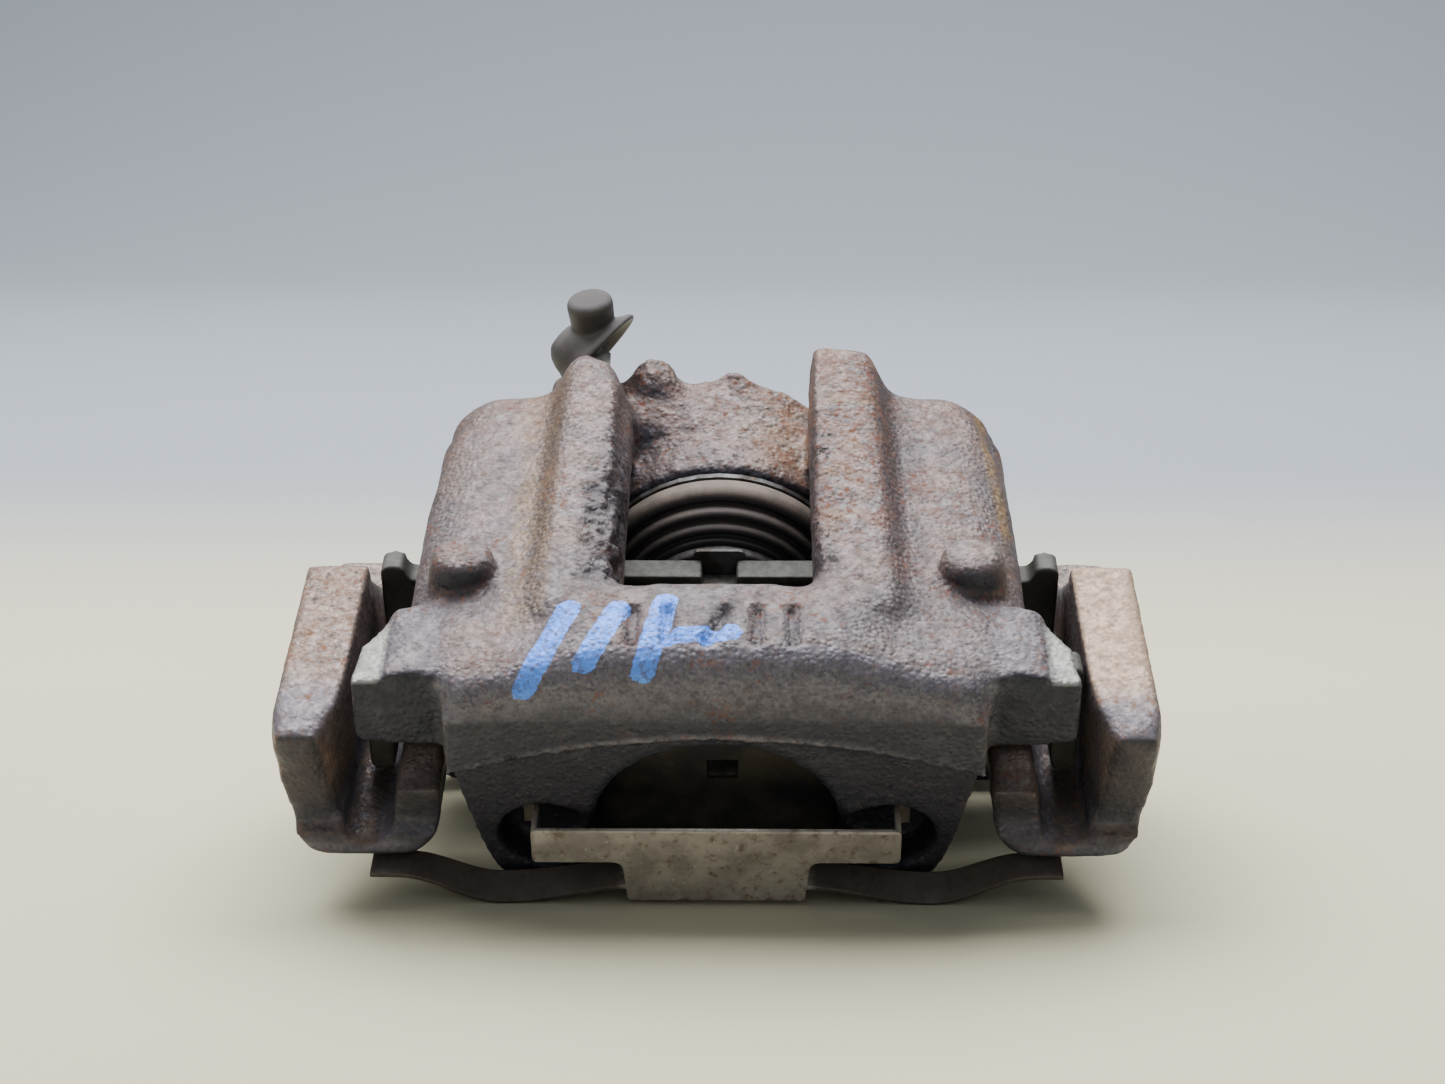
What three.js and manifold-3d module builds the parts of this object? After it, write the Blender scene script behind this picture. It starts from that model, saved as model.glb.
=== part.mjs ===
// Floating single-piston disc brake caliper with its carrier and both pads.
//
// Everything is drawn in the caliper's own axes: X across the caliper, Y along the piston from the
// outboard side to the inboard side, Z away from the wheel centre. The piston axis is X = Z = 0 and
// the outboard face of the fist is Y = 0. The outermost group then tips the assembly onto the spring
// leaf and the carrier lugs, as it lies on a bench.
import * as THREE from 'three';
import { mergeVertices } from 'three/addons/utils/BufferGeometryUtils.js';
import Module from 'manifold-3d';

const wasm = await Module();
wasm.setup();

// ---- driving dimensions, mm ---------------------------------------------------------------------

const REST_TILT = THREE.MathUtils.degToRad(24); // piston axis above the bench when the part lies down
const FIT = 0.3; // clearance left between pieces that touch

const PISTON_R = 18;
const BORE_R = PISTON_R + FIT;
const CYLINDER_R = 27;
const CYLINDER_MOUTH_Y = 74;
const BORE_END_Y = 102;
const CYLINDER_BACK_Y = 109;
const SEAL_GROOVE_Y = [81, 85];
const SEAL_GROOVE_DEPTH = 2.7;
const BOOT_SEAT_R = 24.4;
const HOSE_X = 8;
const HOSE_Z = -8;
const HOSE_PORT_R = 4.6;

const FIST_INNER_Y = 18;
const PLATE_THICKNESS = 5.6;
const SHIM_THICKNESS = 0.7;
const OUTER_LINING_THICKNESS = 8.5;
const INNER_LINING_THICKNESS = 7.9;
const DISC_GAP = 10.8; // a 10 mm disc with running clearance

const SHIM_Y = FIST_INNER_Y + FIT;
const OUTER_PLATE_Y = SHIM_Y + SHIM_THICKNESS + FIT;
const OUTER_LINING_Y = OUTER_PLATE_Y + PLATE_THICKNESS + FIT;
const INNER_LINING_Y = OUTER_LINING_Y + OUTER_LINING_THICKNESS + DISC_GAP;
const INNER_PLATE_Y = INNER_LINING_Y + INNER_LINING_THICKNESS + FIT;
const CLIP_Y = INNER_PLATE_Y + PLATE_THICKNESS + FIT;
const CLIP_SHEET = 0.8;
const PISTON_FACE_Y = CLIP_Y + CLIP_SHEET + FIT;
const PISTON_LENGTH = 38;

const PAD_HALF_WIDTH = 45.5;
const PAD_TOP_Z = 17;
const PAD_BOTTOM_Z = -24;
const PAD_EAR_X = 63.2; // outer end of the pad ears
const OUTER_PAD_SHIFT_X = 0.9; // the loose outer pad lies against one side of its pocket
const OUTER_EAR_TOP_Z = 22;
const INNER_EAR_TOP_Z = 19;
const PAD_EAR_BOTTOM_Z = -1.5;

const LEG_OUTER_X = 76.2;
const LEG_TOP_Z = 21.5;
const LEG_BOTTOM_Z = -7.3;
const POCKET_OUTER_X = 64.5;
const RAIL_OUTER_X = 57;
const RAIL_INNER_X = 47.8;
const RAIL_TOP_Z = 7.5;
const POCKET_FLOOR_Z = -3;
const POCKET_CORNER_X = POCKET_OUTER_X + 0.4;
const LEG_FRONT_Y = 1;
const DISC_SLOT_Y = [31.5, 47];
const LEG_FAR_Y = 51; // inboard end of the leg's full height
const PLATE_Y = [64, 74]; // inboard wall of the carrier
const WALL_TOP_Z = 5;
const MOUNT_FACE_Y = 75.2;
const LUG_X = 52;
const LUG_Z = -31.9;
const LUG_R = 12;
const LUG_HOLE_R = 5.5;

const PIN_X = 46.5;
const PIN_Z = 9;
const PIN_R = 5;
const PIN_THREAD_R = 4.2;
const BUSH_R = 8;
const BUSH_BOSS_R = 10.6;
const BUSH_BOSS_Y = [80, 102];
const FLANGE_R = 9.4;

const WINDOW_HALF_WIDTH = 17;
const WINDOW_NEAR_Y = 25;
const RIB_END_Y = 94;
const RIGHT_RIB_TOP_Z = 44;
const LEFT_RIB_TOP_Z = 42.8;
const ARCH_R = 21.4;
const ARCH_Z = -1.6;
const SPRING_HOLE_X = 30;
const SPRING_HOLE_Z = -4.5;
const SPRING_HOLE_R = 8.3;

const BLEEDER_FOOT = new THREE.Vector3(-27, 103, 28.5); // top of the bleed screw's boss
const BLEEDER_AXIS = new THREE.Vector3(0.05, 0.28, 0.96).normalize();

// ---- shape helpers ------------------------------------------------------------------------------

const FINE = 40;
const MEDIUM = 20;
const COARSE = 14;

// Turns a closed three.js geometry into a solid that can be joined and cut.
function toSolid(geometry) {
  const bare = geometry.index ? geometry.toNonIndexed() : geometry.clone();
  bare.deleteAttribute('normal');
  bare.deleteAttribute('uv');
  const merged = mergeVertices(bare, 1e-3);
  const corners = merged.index.array;
  const kept = [];
  for (let i = 0; i < corners.length; i += 3) {
    const [a, b, c] = [corners[i], corners[i + 1], corners[i + 2]];
    if (a !== b && b !== c && c !== a) kept.push(a, b, c);
  }
  const vertProperties = merged.attributes.position.array;
  return new wasm.Manifold(new wasm.Mesh({ numProp: 3, vertProperties, triVerts: Uint32Array.from(kept) }));
}

function toGeometry(solid) {
  const { vertProperties, triVerts, numProp } = solid.getMesh();
  const geometry = new THREE.BufferGeometry();
  const positions = new Float32Array((vertProperties.length / numProp) * 3);
  for (let i = 0; i < positions.length / 3; i += 1) {
    positions.set(vertProperties.subarray(i * numProp, i * numProp + 3), i * 3);
  }
  geometry.setAttribute('position', new THREE.BufferAttribute(positions, 3));
  geometry.setIndex([...triVerts]);
  geometry.computeVertexNormals();
  return geometry;
}

const union = (...solids) => solids.reduce((whole, next) => whole.add(next));

function box([x0, x1], [y0, y1], [z0, z1]) {
  const geometry = new THREE.BoxGeometry(x1 - x0, y1 - y0, z1 - z0);
  return toSolid(geometry.translate((x0 + x1) / 2, (y0 + y1) / 2, (z0 + z1) / 2));
}

// A shape from corner points [x, y] or rounded corners [x, y, radius]. A rounding takes less than half
// of either side that meets at its corner.
function outline(corners) {
  const shape = new THREE.Shape();
  const count = corners.length;
  corners.forEach(([x, y, wanted = 0], i) => {
    const here = new THREE.Vector2(x, y);
    const before = new THREE.Vector2(...corners[(i + count - 1) % count].slice(0, 2)).sub(here);
    const after = new THREE.Vector2(...corners[(i + 1) % count].slice(0, 2)).sub(here);
    const radius = Math.min(wanted, before.length() * 0.45, after.length() * 0.45);
    const start = here.clone().add(before.setLength(radius));
    const end = here.clone().add(after.setLength(radius));
    if (i === 0) shape.moveTo(start.x, start.y);
    else shape.lineTo(start.x, start.y);
    if (radius > 0) shape.quadraticCurveTo(x, y, end.x, end.y);
  });
  shape.closePath();
  return shape;
}

// Right half of a front view, from the top centre round to the bottom centre, made whole.
function symmetric(rightHalf) {
  const leftHalf = rightHalf.filter(([x]) => x !== 0).map(([x, z, radius]) => [-x, z, radius]).reverse();
  return outline([...rightHalf, ...leftHalf]);
}

const extrude = (shape, depth, curveSegments) =>
  new THREE.ExtrudeGeometry(shape, { depth, bevelEnabled: false, curveSegments });

// Front view outline (X, Z) stretched from y0 to y1.
const alongY = (shape, [y0, y1], curveSegments = 3) =>
  toSolid(extrude(shape, y1 - y0, curveSegments).rotateX(Math.PI / 2).translate(0, y1, 0));

// Side view outline (Y, Z) stretched from x0 to x1.
function alongX(shape, [x0, x1], curveSegments = 3) {
  const [yAxis, zAxis, xAxis] = [[0, 1, 0], [0, 0, 1], [1, 0, 0]].map((v) => new THREE.Vector3(...v));
  const turn = new THREE.Matrix4().makeBasis(yAxis, zAxis, xAxis);
  return toSolid(extrude(shape, x1 - x0, curveSegments).applyMatrix4(turn).translate(x0, 0, 0));
}

// Top view outline (X, Y) stretched from z0 to z1.
const alongZ = (shape, [z0, z1], curveSegments = 3) =>
  toSolid(extrude(shape, z1 - z0, curveSegments).translate(0, 0, z0));

// Round bar parallel to the piston.
const rod = (radius, [y0, y1], x = 0, z = 0, sides = MEDIUM) =>
  toSolid(new THREE.CylinderGeometry(radius, radius, y1 - y0, sides).translate(x, (y0 + y1) / 2, z));

// Body of revolution about a line parallel to the piston; profile points are [radius, y].
function turned(profile, x = 0, z = 0, sides = FINE) {
  const points = profile.map(([radius, y]) => new THREE.Vector2(radius, y));
  return toSolid(new THREE.LatheGeometry(points, sides).translate(x, 0, z));
}

// Body of revolution about the bleed screw's axis; profile points are [radius, height over the boss].
function turnedOnBleeder(profile, sides = COARSE) {
  const points = profile.map(([radius, height]) => new THREE.Vector2(radius, height));
  const geometry = new THREE.LatheGeometry(points, sides);
  const turn = new THREE.Quaternion().setFromUnitVectors(new THREE.Vector3(0, 1, 0), BLEEDER_AXIS);
  return toSolid(geometry.applyQuaternion(turn).translate(...BLEEDER_FOOT.toArray()));
}

const ring = (inner, outer, [y0, y1]) => [[inner, y0], [outer, y0], [outer, y1], [inner, y1], [inner, y0]];
const bothSides = (makeOne) => union(makeOne(1), makeOne(-1));
const mirrored = (solid) => union(solid, solid.mirror([1, 0, 0]));

// ---- carrier ------------------------------------------------------------------------------------

// Corner of the rail that the pad ear hooks over and floor of the pocket beside it, in front view.
const railAndPocket = [
  [RAIL_OUTER_X - 1.5, RAIL_TOP_Z, 0.8],
  [RAIL_OUTER_X, POCKET_FLOOR_Z, 1.5],
  [POCKET_CORNER_X, POCKET_FLOOR_Z, 2],
];

// Outboard half of the right leg: outer wall, pocket floor and the rail that the pad ear hooks over.
function outboardLeg() {
  const front = outline([
    [POCKET_OUTER_X, LEG_TOP_Z], [LEG_OUTER_X, LEG_TOP_Z, 1.5], [LEG_OUTER_X, 15, 3],
    [LEG_OUTER_X - 3.5, LEG_BOTTOM_Z, 3.5], [RAIL_INNER_X + 1, LEG_BOTTOM_Z, 7], [RAIL_INNER_X, RAIL_TOP_Z],
    ...railAndPocket,
  ]);
  const side = outline([
    [LEG_FRONT_Y, LEG_TOP_Z + 1, 2], [LEG_FRONT_Y + 3.8, -0.5, 2], [LEG_FRONT_Y, -1.6, 1.6],
    [LEG_FRONT_Y, LEG_BOTTOM_Z, 1.8], [DISC_SLOT_Y[0], LEG_BOTTOM_Z], [DISC_SLOT_Y[0], LEG_TOP_Z + 1],
  ]);
  const leg = alongY(front, [0, DISC_SLOT_Y[0]]).intersect(alongX(side, [40, 80]));
  const pocketMouth = outline([
    [POCKET_OUTER_X - 3, -2], [POCKET_OUTER_X + 2.6, -2], [POCKET_OUTER_X + 2, 4, 3],
    [POCKET_CORNER_X, 13, 6],
    [POCKET_OUTER_X, DISC_SLOT_Y[0] - 4], [POCKET_OUTER_X - 3, DISC_SLOT_Y[0] - 4],
  ]);
  return leg.subtract(alongZ(pocketMouth, [1, LEG_TOP_Z + 5]));
}

// Wall that passes over the edge of the brake disc and joins the two halves of a leg.
function discBridge() {
  const front = outline([
    [POCKET_OUTER_X, LEG_TOP_Z], [LEG_OUTER_X, LEG_TOP_Z, 1.5], [LEG_OUTER_X, 5, 2], [POCKET_OUTER_X, 5],
  ]);
  return alongY(front, [DISC_SLOT_Y[0] - 1, DISC_SLOT_Y[1] + 1]);
}

// Inboard half of the right leg, with the same pocket and rail for the inner pad. Its top falls away
// towards the inboard wall.
function inboardLeg() {
  const front = outline([
    [POCKET_OUTER_X, LEG_TOP_Z], [LEG_OUTER_X, LEG_TOP_Z, 1.5], [LEG_OUTER_X, -8, 4],
    [RAIL_OUTER_X + 4, -22, 5], [RAIL_INNER_X, -22], [RAIL_INNER_X, RAIL_TOP_Z],
    ...railAndPocket,
  ]);
  const [start, end] = [DISC_SLOT_Y[1], PLATE_Y[0] + 1];
  const side = outline([
    [start, -30], [start, LEG_TOP_Z], [LEG_FAR_Y, LEG_TOP_Z, 1.5], [LEG_FAR_Y + 1, 17, 3], [end, WALL_TOP_Z],
    [end, -30],
  ]);
  return alongY(front, [start, end]).intersect(alongX(side, [40, 80]));
}

// Flat inboard wall: a U round the piston, with a boss for each guide pin and a lug at each foot.
function inboardWall() {
  const wall = alongY(symmetric([
    [0, -29.5], [14, -28.5, 6], [28, -20, 10], [36, -4, 8], [37.5, 12, 4], [42, 17.2, 4], [52, 17.2, 4],
    [RAIL_OUTER_X - 1, 7, 2], ...railAndPocket.slice(1), [POCKET_OUTER_X, WALL_TOP_Z],
    [LEG_OUTER_X - 1, WALL_TOP_Z, 2], [LEG_OUTER_X - 1, -10, 8], [LUG_X + LUG_R - 1, LUG_Z + 1, 4],
    [LUG_X, LUG_Z - 4], [LUG_X - LUG_R, -39, 6], [0, -41],
  ]), PLATE_Y);
  const lugs = bothSides((side) => rod(LUG_R, PLATE_Y, side * LUG_X, LUG_Z));
  const faceY = [PLATE_Y[1] - 1, MOUNT_FACE_Y];
  const mountingFaces = bothSides((side) => rod(LUG_R - 1, faceY, side * LUG_X, LUG_Z));
  return union(wall, lugs, mountingFaces);
}

function carrier() {
  const rightLeg = union(outboardLeg(), discBridge(), inboardLeg());
  const through = [PLATE_Y[0] - 2, PLATE_Y[1] + 3];
  const boltHoles = bothSides((side) => rod(LUG_HOLE_R, through, side * LUG_X, LUG_Z));
  const pinHoles = bothSides((side) => rod(PIN_THREAD_R + FIT, through, side * PIN_X, PIN_Z));
  return union(mirrored(rightLeg), inboardWall()).subtract(boltHoles).subtract(pinHoles);
}

// ---- caliper housing ----------------------------------------------------------------------------

// Half width of the casting's flanks seen from above: wide at the outboard ears, narrow behind them.
const flankPlan = () => symmetric([
  [0, 6], [62, 6, 1], [61, 17, 2], [57, 23, 3], [56.2, 33, 6], [54.6, 60], [52.4, 78, 6], [46, 91, 6],
  [0, 92],
]);

// Bridge and shoulders over the disc.
function saddle() {
  const front = symmetric([
    [0, 38], [23, 38, 3], [31, 34, 4], [47, 32.2, 5], [54.4, 27.5, 3], [55.5, 18, 2], [50.5, 18, 1.5],
    [48.5, 24, 3], [0, 24],
  ]);
  const side = outline([
    [0, 12], [0.4, 30, 3], [3.4, 38.4, 8], [16, 37.6, 6], [52, 36], [92, 34, 4], [92, 12],
  ]);
  return alongY(front, [0, 92]).intersect(alongX(side, [-60, 60])).intersect(union(
    alongZ(flankPlan(), [0, 60]),
    box([-46, 46], [0, 20], [0, 60]),
  ));
}

// Outboard ears that carry the casting over the pad ears, each with a ground locating strip.
function ears() {
  const front = outline([
    [44, 31], [50, 31.5, 2], [56, 30.5, 0.6], [56.4, 29.2], [63, 29.2], [61.6, 16, 1.4], [44, 15.4],
  ]);
  const side = outline([
    [6, 10], [6.6, 29, 0.6], [7.4, 34], [26, 34], [26, 24.4, 1], [FIST_INNER_Y, 24.2, 1],
    [FIST_INNER_Y - 1, 10],
  ]);
  const ear = alongY(front, [4, 27]).intersect(alongX(side, [40, 70]));
  return mirrored(ear).intersect(alongZ(flankPlan(), [0, 60]));
}

// Outboard wall that presses the outer pad: the upper roll, and the drafted face with two fingers.
function fist() {
  const ridge = [];
  for (let i = 0; i <= 8; i += 1) {
    const x = 46 - (92 * i) / 8;
    ridge.push([x, 22.4 - 8.4 * (x / 46) ** 2]);
  }
  const roll = outline([[0, 0], [0.6, 33, 3], [3, 37], [FIST_INNER_Y, 37], [FIST_INNER_Y, 0]]);
  const upper = alongY(outline([[-46, 32], [46, 32], ...ridge]), [0, FIST_INNER_Y])
    .intersect(alongX(roll, [-60, 60]));
  const lower = alongY(symmetric([
    [0, 25], [45.6, 25], [45.2, 13, 4], [41.5, -8, 6], [37.6, -18.2, 5.5], [23, -18.2, 4], [19.6, -8, 2],
    [0, -8],
  ]), [0.8, FIST_INNER_Y]);
  const draftSide = outline([[0.9, 24], [0.9, 21], [7.6, -18], [7.6, -24], [-6, -24], [-6, 24]]);
  const draft = alongX(draftSide, [-60, 60]);
  const arch = union(
    rod(ARCH_R, [-2, FIST_INNER_Y + 1], 0, ARCH_Z, FINE),
    box([-ARCH_R + 1, ARCH_R - 1], [-2, FIST_INNER_Y + 1], [-22, ARCH_Z]),
  );
  const holeDepth = [-2, FIST_INNER_Y - 4];
  const holes = bothSides((side) => rod(SPRING_HOLE_R, holeDepth, side * SPRING_HOLE_X, SPRING_HOLE_Z));
  return union(upper, lower.subtract(draft)).subtract(arch).subtract(holes);
}

// Right-hand rib beside the window, rising towards the cylinder. The draft leans its inner wall back.
function rib(topZ, draft) {
  const front = outline([
    [WINDOW_HALF_WIDTH, 22], [34, 22], [32.4, 34, 2], [28.4, topZ, 2.4],
    [WINDOW_HALF_WIDTH + draft, topZ, 1.6],
  ]);
  const side = outline([
    [18, 22], [18, 37.2], [34, 37.6, 8], [RIB_END_Y - 1, topZ, 3], [RIB_END_Y, 24], [60, 22],
  ]);
  return alongY(front, [18, RIB_END_Y]).intersect(alongX(side, [10, 40]));
}

const ribs = () => union(rib(RIGHT_RIB_TOP_Z, 0.4), rib(LEFT_RIB_TOP_Z, 2.6).mirror([1, 0, 0]));

// Cylinder with the cross web that ties it to the shoulders and to the guide bosses.
function cylinderBlock() {
  const barrel = turned([
    [0, CYLINDER_MOUTH_Y], [CYLINDER_R - 1, CYLINDER_MOUTH_Y], [CYLINDER_R, CYLINDER_MOUTH_Y + 1],
    [CYLINDER_R + 1, 104], [CYLINDER_R - 3, CYLINDER_BACK_Y - 1], [CYLINDER_R - 6, CYLINDER_BACK_Y],
    [0, CYLINDER_BACK_Y],
  ]);
  const web = alongY(symmetric([
    [0, 24], [17, 22], [18, 32], [46, 32, 6], [53, 26, 4], [54, 12, 4], [46, -2, 6], [30, -8, 8], [0, -8],
  ]), [BUSH_BOSS_Y[0], 91.5]);
  const bosses = bothSides((side) => rod(BUSH_BOSS_R, BUSH_BOSS_Y, side * PIN_X, PIN_Z));
  const hosePad = rod(8.5, [CYLINDER_BACK_Y - 6, CYLINDER_BACK_Y + 3], HOSE_X, HOSE_Z, MEDIUM);
  const castBump = toSolid(new THREE.SphereGeometry(4.6, 16, 10).translate(2.5, 103.5, 25));
  const castLobe = toSolid(new THREE.SphereGeometry(5.8, 16, 12).translate(-13.5, 100, 29));
  const flatTop = alongY(outline([[-22, 14], [-22, 28, 3], [1, 27.6, 4], [8, 22]]), [88, 103.5]);
  return union(barrel, web, bosses, hosePad, castBump, castLobe, flatTop);
}

// Bore, seal groove, seat of the dust boot, and the two drillings for fluid and for air.
function hydraulicCuts() {
  const bore = turned([
    [0, CYLINDER_MOUTH_Y - 1], [BOOT_SEAT_R, CYLINDER_MOUTH_Y - 1], [BOOT_SEAT_R, CYLINDER_MOUTH_Y + 3],
    [BORE_R, CYLINDER_MOUTH_Y + 3.6], [BORE_R, SEAL_GROOVE_Y[0]],
    [BORE_R + SEAL_GROOVE_DEPTH, SEAL_GROOVE_Y[0]], [BORE_R + SEAL_GROOVE_DEPTH, SEAL_GROOVE_Y[1]],
    [BORE_R, SEAL_GROOVE_Y[1]], [BORE_R, BORE_END_Y - 0.8], [BORE_R - 1.2, BORE_END_Y], [0, BORE_END_Y],
  ]);
  const port = union(
    rod(HOSE_PORT_R, [CYLINDER_BACK_Y - 5, CYLINDER_BACK_Y + 4], HOSE_X, HOSE_Z, COARSE),
    rod(1.8, [BORE_END_Y - 1, CYLINDER_BACK_Y], HOSE_X, HOSE_Z, 12),
  );
  const bleedHole = turnedOnBleeder([[0, -15], [1.6, -15], [1.6, -12.6], [3.9, -12], [3.9, 2], [0, 2]]);
  const airPassage = toSolid(
    new THREE.CylinderGeometry(1.4, 1.4, 20, 12).rotateZ(Math.PI / 2).translate(-18, 99.2, 14.8),
  );
  return union(bore, port, bleedHole, airPassage);
}

function caliperHousing() {
  const window = alongZ(outline([
    [-WINDOW_HALF_WIDTH, WINDOW_NEAR_Y, 4.5], [WINDOW_HALF_WIDTH, WINDOW_NEAR_Y, 4.5],
    [WINDOW_HALF_WIDTH, 100], [-WINDOW_HALF_WIDTH, 100],
  ]), [12, 60]);
  const roundBosses = bothSides((side) => toSolid(
    new THREE.CylinderGeometry(4.6, 7, 12, 24).rotateX(Math.PI / 2).translate(side * 44.8, 33, 29.8),
  ));
  const bleederBoss = turnedOnBleeder([[0, -18], [7.8, -18], [7, -0.8], [6.2, 0], [0, 0]], MEDIUM);
  const through = [BUSH_BOSS_Y[0] - 1, BUSH_BOSS_Y[1] + 1];
  const bushBores = bothSides((side) => rod(BUSH_R + FIT, through, side * PIN_X, PIN_Z));
  const shell = union(saddle(), ears(), fist(), roundBosses).subtract(window);
  return union(shell, ribs(), cylinderBlock(), bleederBoss).subtract(hydraulicCuts()).subtract(bushBores);
}

// ---- hydraulic parts ----------------------------------------------------------------------------

function piston() {
  const back = PISTON_FACE_Y + PISTON_LENGTH;
  return turned([
    [13, PISTON_FACE_Y], [PISTON_R - 1, PISTON_FACE_Y], [PISTON_R - 0.4, PISTON_FACE_Y + 0.6],
    [PISTON_R - 0.4, PISTON_FACE_Y + 2.2], [PISTON_R - 1.6, PISTON_FACE_Y + 2.6],
    [PISTON_R - 1.6, PISTON_FACE_Y + 4.6], [PISTON_R, PISTON_FACE_Y + 5], [PISTON_R, back - 1.2],
    [PISTON_R - 1.2, back], [0, back], [0, back - 8], [11.5, back - 8], [13, back - 10], [13, PISTON_FACE_Y],
  ]);
}

function pistonSeal() {
  const [front, back] = SEAL_GROOVE_Y;
  return turned(ring(BORE_R, BORE_R + SEAL_GROOVE_DEPTH - FIT, [front + FIT, back - FIT]));
}

// Bellows between the cylinder mouth and the piston: three folds that open like a cone.
function dustBoot() {
  const start = PISTON_FACE_Y + 2.9;
  return turned([
    [PISTON_R + 0.35, start], [PISTON_R + 1.6, start], [PISTON_R + 2.4, start + 1.2],
    [PISTON_R + 3.6, start + 2.4], [PISTON_R + 4.6, start + 3.4], [PISTON_R + 5.6, start + 5],
    [PISTON_R + 6.4, start + 7], [PISTON_R + 6, CYLINDER_MOUTH_Y + 0.4],
    [PISTON_R + 6, CYLINDER_MOUTH_Y + 2.6], [PISTON_R + 2.6, CYLINDER_MOUTH_Y + 2.6],
    [PISTON_R + 2.6, start + 7], [PISTON_R + 0.35, start + 2.5],
    [PISTON_R + 0.35, start],
  ]);
}

// Ring that clamps the foot of the dust boot in the cylinder mouth.
const bootRing = () => turned(
  ring(BOOT_SEAT_R + 0.2, BOOT_SEAT_R + 1.6, [CYLINDER_MOUTH_Y - 1.5, CYLINDER_MOUTH_Y - FIT]),
);

const bleedScrew = () => turnedOnBleeder([
  [0, -12], [1.5, -11.8], [3.5, -9.6], [3.5, 0.6], [4.3, 0.8], [4.3, 6], [2.6, 6.6], [2.6, 8.4],
  [3.1, 9.2], [3.1, 11], [2.4, 11.6], [1, 11.6], [1, -6], [0, -6],
]);

// Rubber cap: a dome over the hexagon, a neck and a round grip, open at the foot.
const bleedScrewCap = () => turnedOnBleeder([
  [4.6, 1.2], [6.6, 1.2], [7.1, 2.6], [7, 5.6], [5.8, 8.2], [4.3, 9.4], [4.1, 10.4], [4.3, 16],
  [3.7, 17.2], [0, 17.4], [0, 12], [3.5, 12], [3.5, 7], [4.6, 6.6], [4.6, 1.2],
], MEDIUM);

// ---- pads ---------------------------------------------------------------------------------------

// Steel backing plate with an ear at each end that hooks over the carrier's rail.
function backingPlate(startY, earTop) {
  const neckBottom = RAIL_TOP_Z + FIT;
  const neckTop = 16;
  const earInner = RAIL_OUTER_X + 1.3;
  const front = symmetric([
    [0, PAD_TOP_Z], [PAD_HALF_WIDTH - 9, PAD_TOP_Z, 2], [PAD_HALF_WIDTH, neckTop - 1, 2],
    [earInner, neckTop, 1.5], [earInner + 0.6, earTop, 2.6], [PAD_EAR_X, earTop, 3],
    [PAD_EAR_X, PAD_EAR_BOTTOM_Z, 3.4],
    [earInner + 0.4, PAD_EAR_BOTTOM_Z, 2.4], [earInner, neckBottom, 0.8], [PAD_HALF_WIDTH, neckBottom, 1],
    [PAD_HALF_WIDTH - 0.5, -8, 4], [PAD_HALF_WIDTH - 12, PAD_BOTTOM_Z, 6], [0, PAD_BOTTOM_Z + 2],
  ]);
  const plate = alongY(front, [startY, startY + PLATE_THICKNESS]);
  const through = [startY - 1, startY + PLATE_THICKNESS + 1];
  const notch = box([-3.2, 3.2], through, [PAD_TOP_Z - 3.4, PAD_TOP_Z + 1]);
  const locatingHole = box([-2.8, 2.8], through, [-2.4, 2]);
  return plate.subtract(notch).subtract(locatingHole);
}

// Friction lining with slanted ends and a slot down the middle.
function lining(startY, thickness, slotOnLowSide) {
  const front = symmetric([
    [0, PAD_TOP_Z - 1.4], [34, PAD_TOP_Z - 1.4, 1], [42, 9, 2], [38, PAD_BOTTOM_Z + 4, 2],
    [0, PAD_BOTTOM_Z + 4],
  ]);
  const slotDepth = thickness - 2.4;
  const endY = startY + thickness;
  const slotY = slotOnLowSide ? [startY - 1, startY + slotDepth] : [endY - slotDepth, endY + 1];
  return alongY(front, [startY, endY]).subtract(box([-1.4, 1.4], slotY, [-30, 30]));
}

// Thin damping sheet between the outer plate and the fist.
function padShim() {
  const sheet = [SHIM_Y, SHIM_Y + SHIM_THICKNESS];
  const front = symmetric([
    [0, PAD_TOP_Z - 2.4], [36, PAD_TOP_Z - 2.4, 2], [43, 8, 2], [42, -8, 3], [33, -20, 4], [0, -20],
  ]);
  return alongY(front, sheet).subtract(box([-2.8, 2.8], [sheet[0] - 1, sheet[1] + 1], [-2.4, 2]));
}

// Sheet clip on the inner pad: a strip behind the plate with three prongs that grip inside the piston.
function padClip() {
  const sheet = [CLIP_Y, CLIP_Y + CLIP_SHEET];
  const strip = alongY(outline([[-5, -8, 2], [5, -8, 2], [5, 18.6, 1.5], [-5, 18.6, 1.5]]), sheet);
  const prongSide = outline([
    [CLIP_Y, 10.8], [CLIP_Y + 8, 11.6], [CLIP_Y + 11, 12.3, 0.4], [CLIP_Y + 13, 10.6],
    [CLIP_Y + 12.4, 10.2], [CLIP_Y + 10.8, 11.4], [CLIP_Y + 8, 10.8], [CLIP_Y, 10],
  ]);
  const prongs = [0, 1, 2].map((i) => alongX(prongSide, [-3, 3]).rotate([0, i * 120, 0]));
  const hub = rod(11, sheet, 0, 0, MEDIUM);
  return union(strip, hub, ...prongs);
}

// ---- retaining spring ---------------------------------------------------------------------------

const LEAF_SHEET = 1;
const LEAF_Y = -1.2; // outboard face of the T plate

// Height of the middle of the spring arm: down under the finger, then up to the carrier leg.
function armHeight(x) {
  const [root, dip, end] = [[15, -10.6], [38, -14.4], [55, LEG_BOTTOM_Z - FIT - LEAF_SHEET / 2]];
  const [from, to] = x < dip[0] ? [root, dip] : [dip, end];
  const along = THREE.MathUtils.clamp((x - from[0]) / (to[0] - from[0]), 0, 1);
  return from[1] + (to[1] - from[1]) * (0.5 - 0.5 * Math.cos(Math.PI * along));
}

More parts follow.
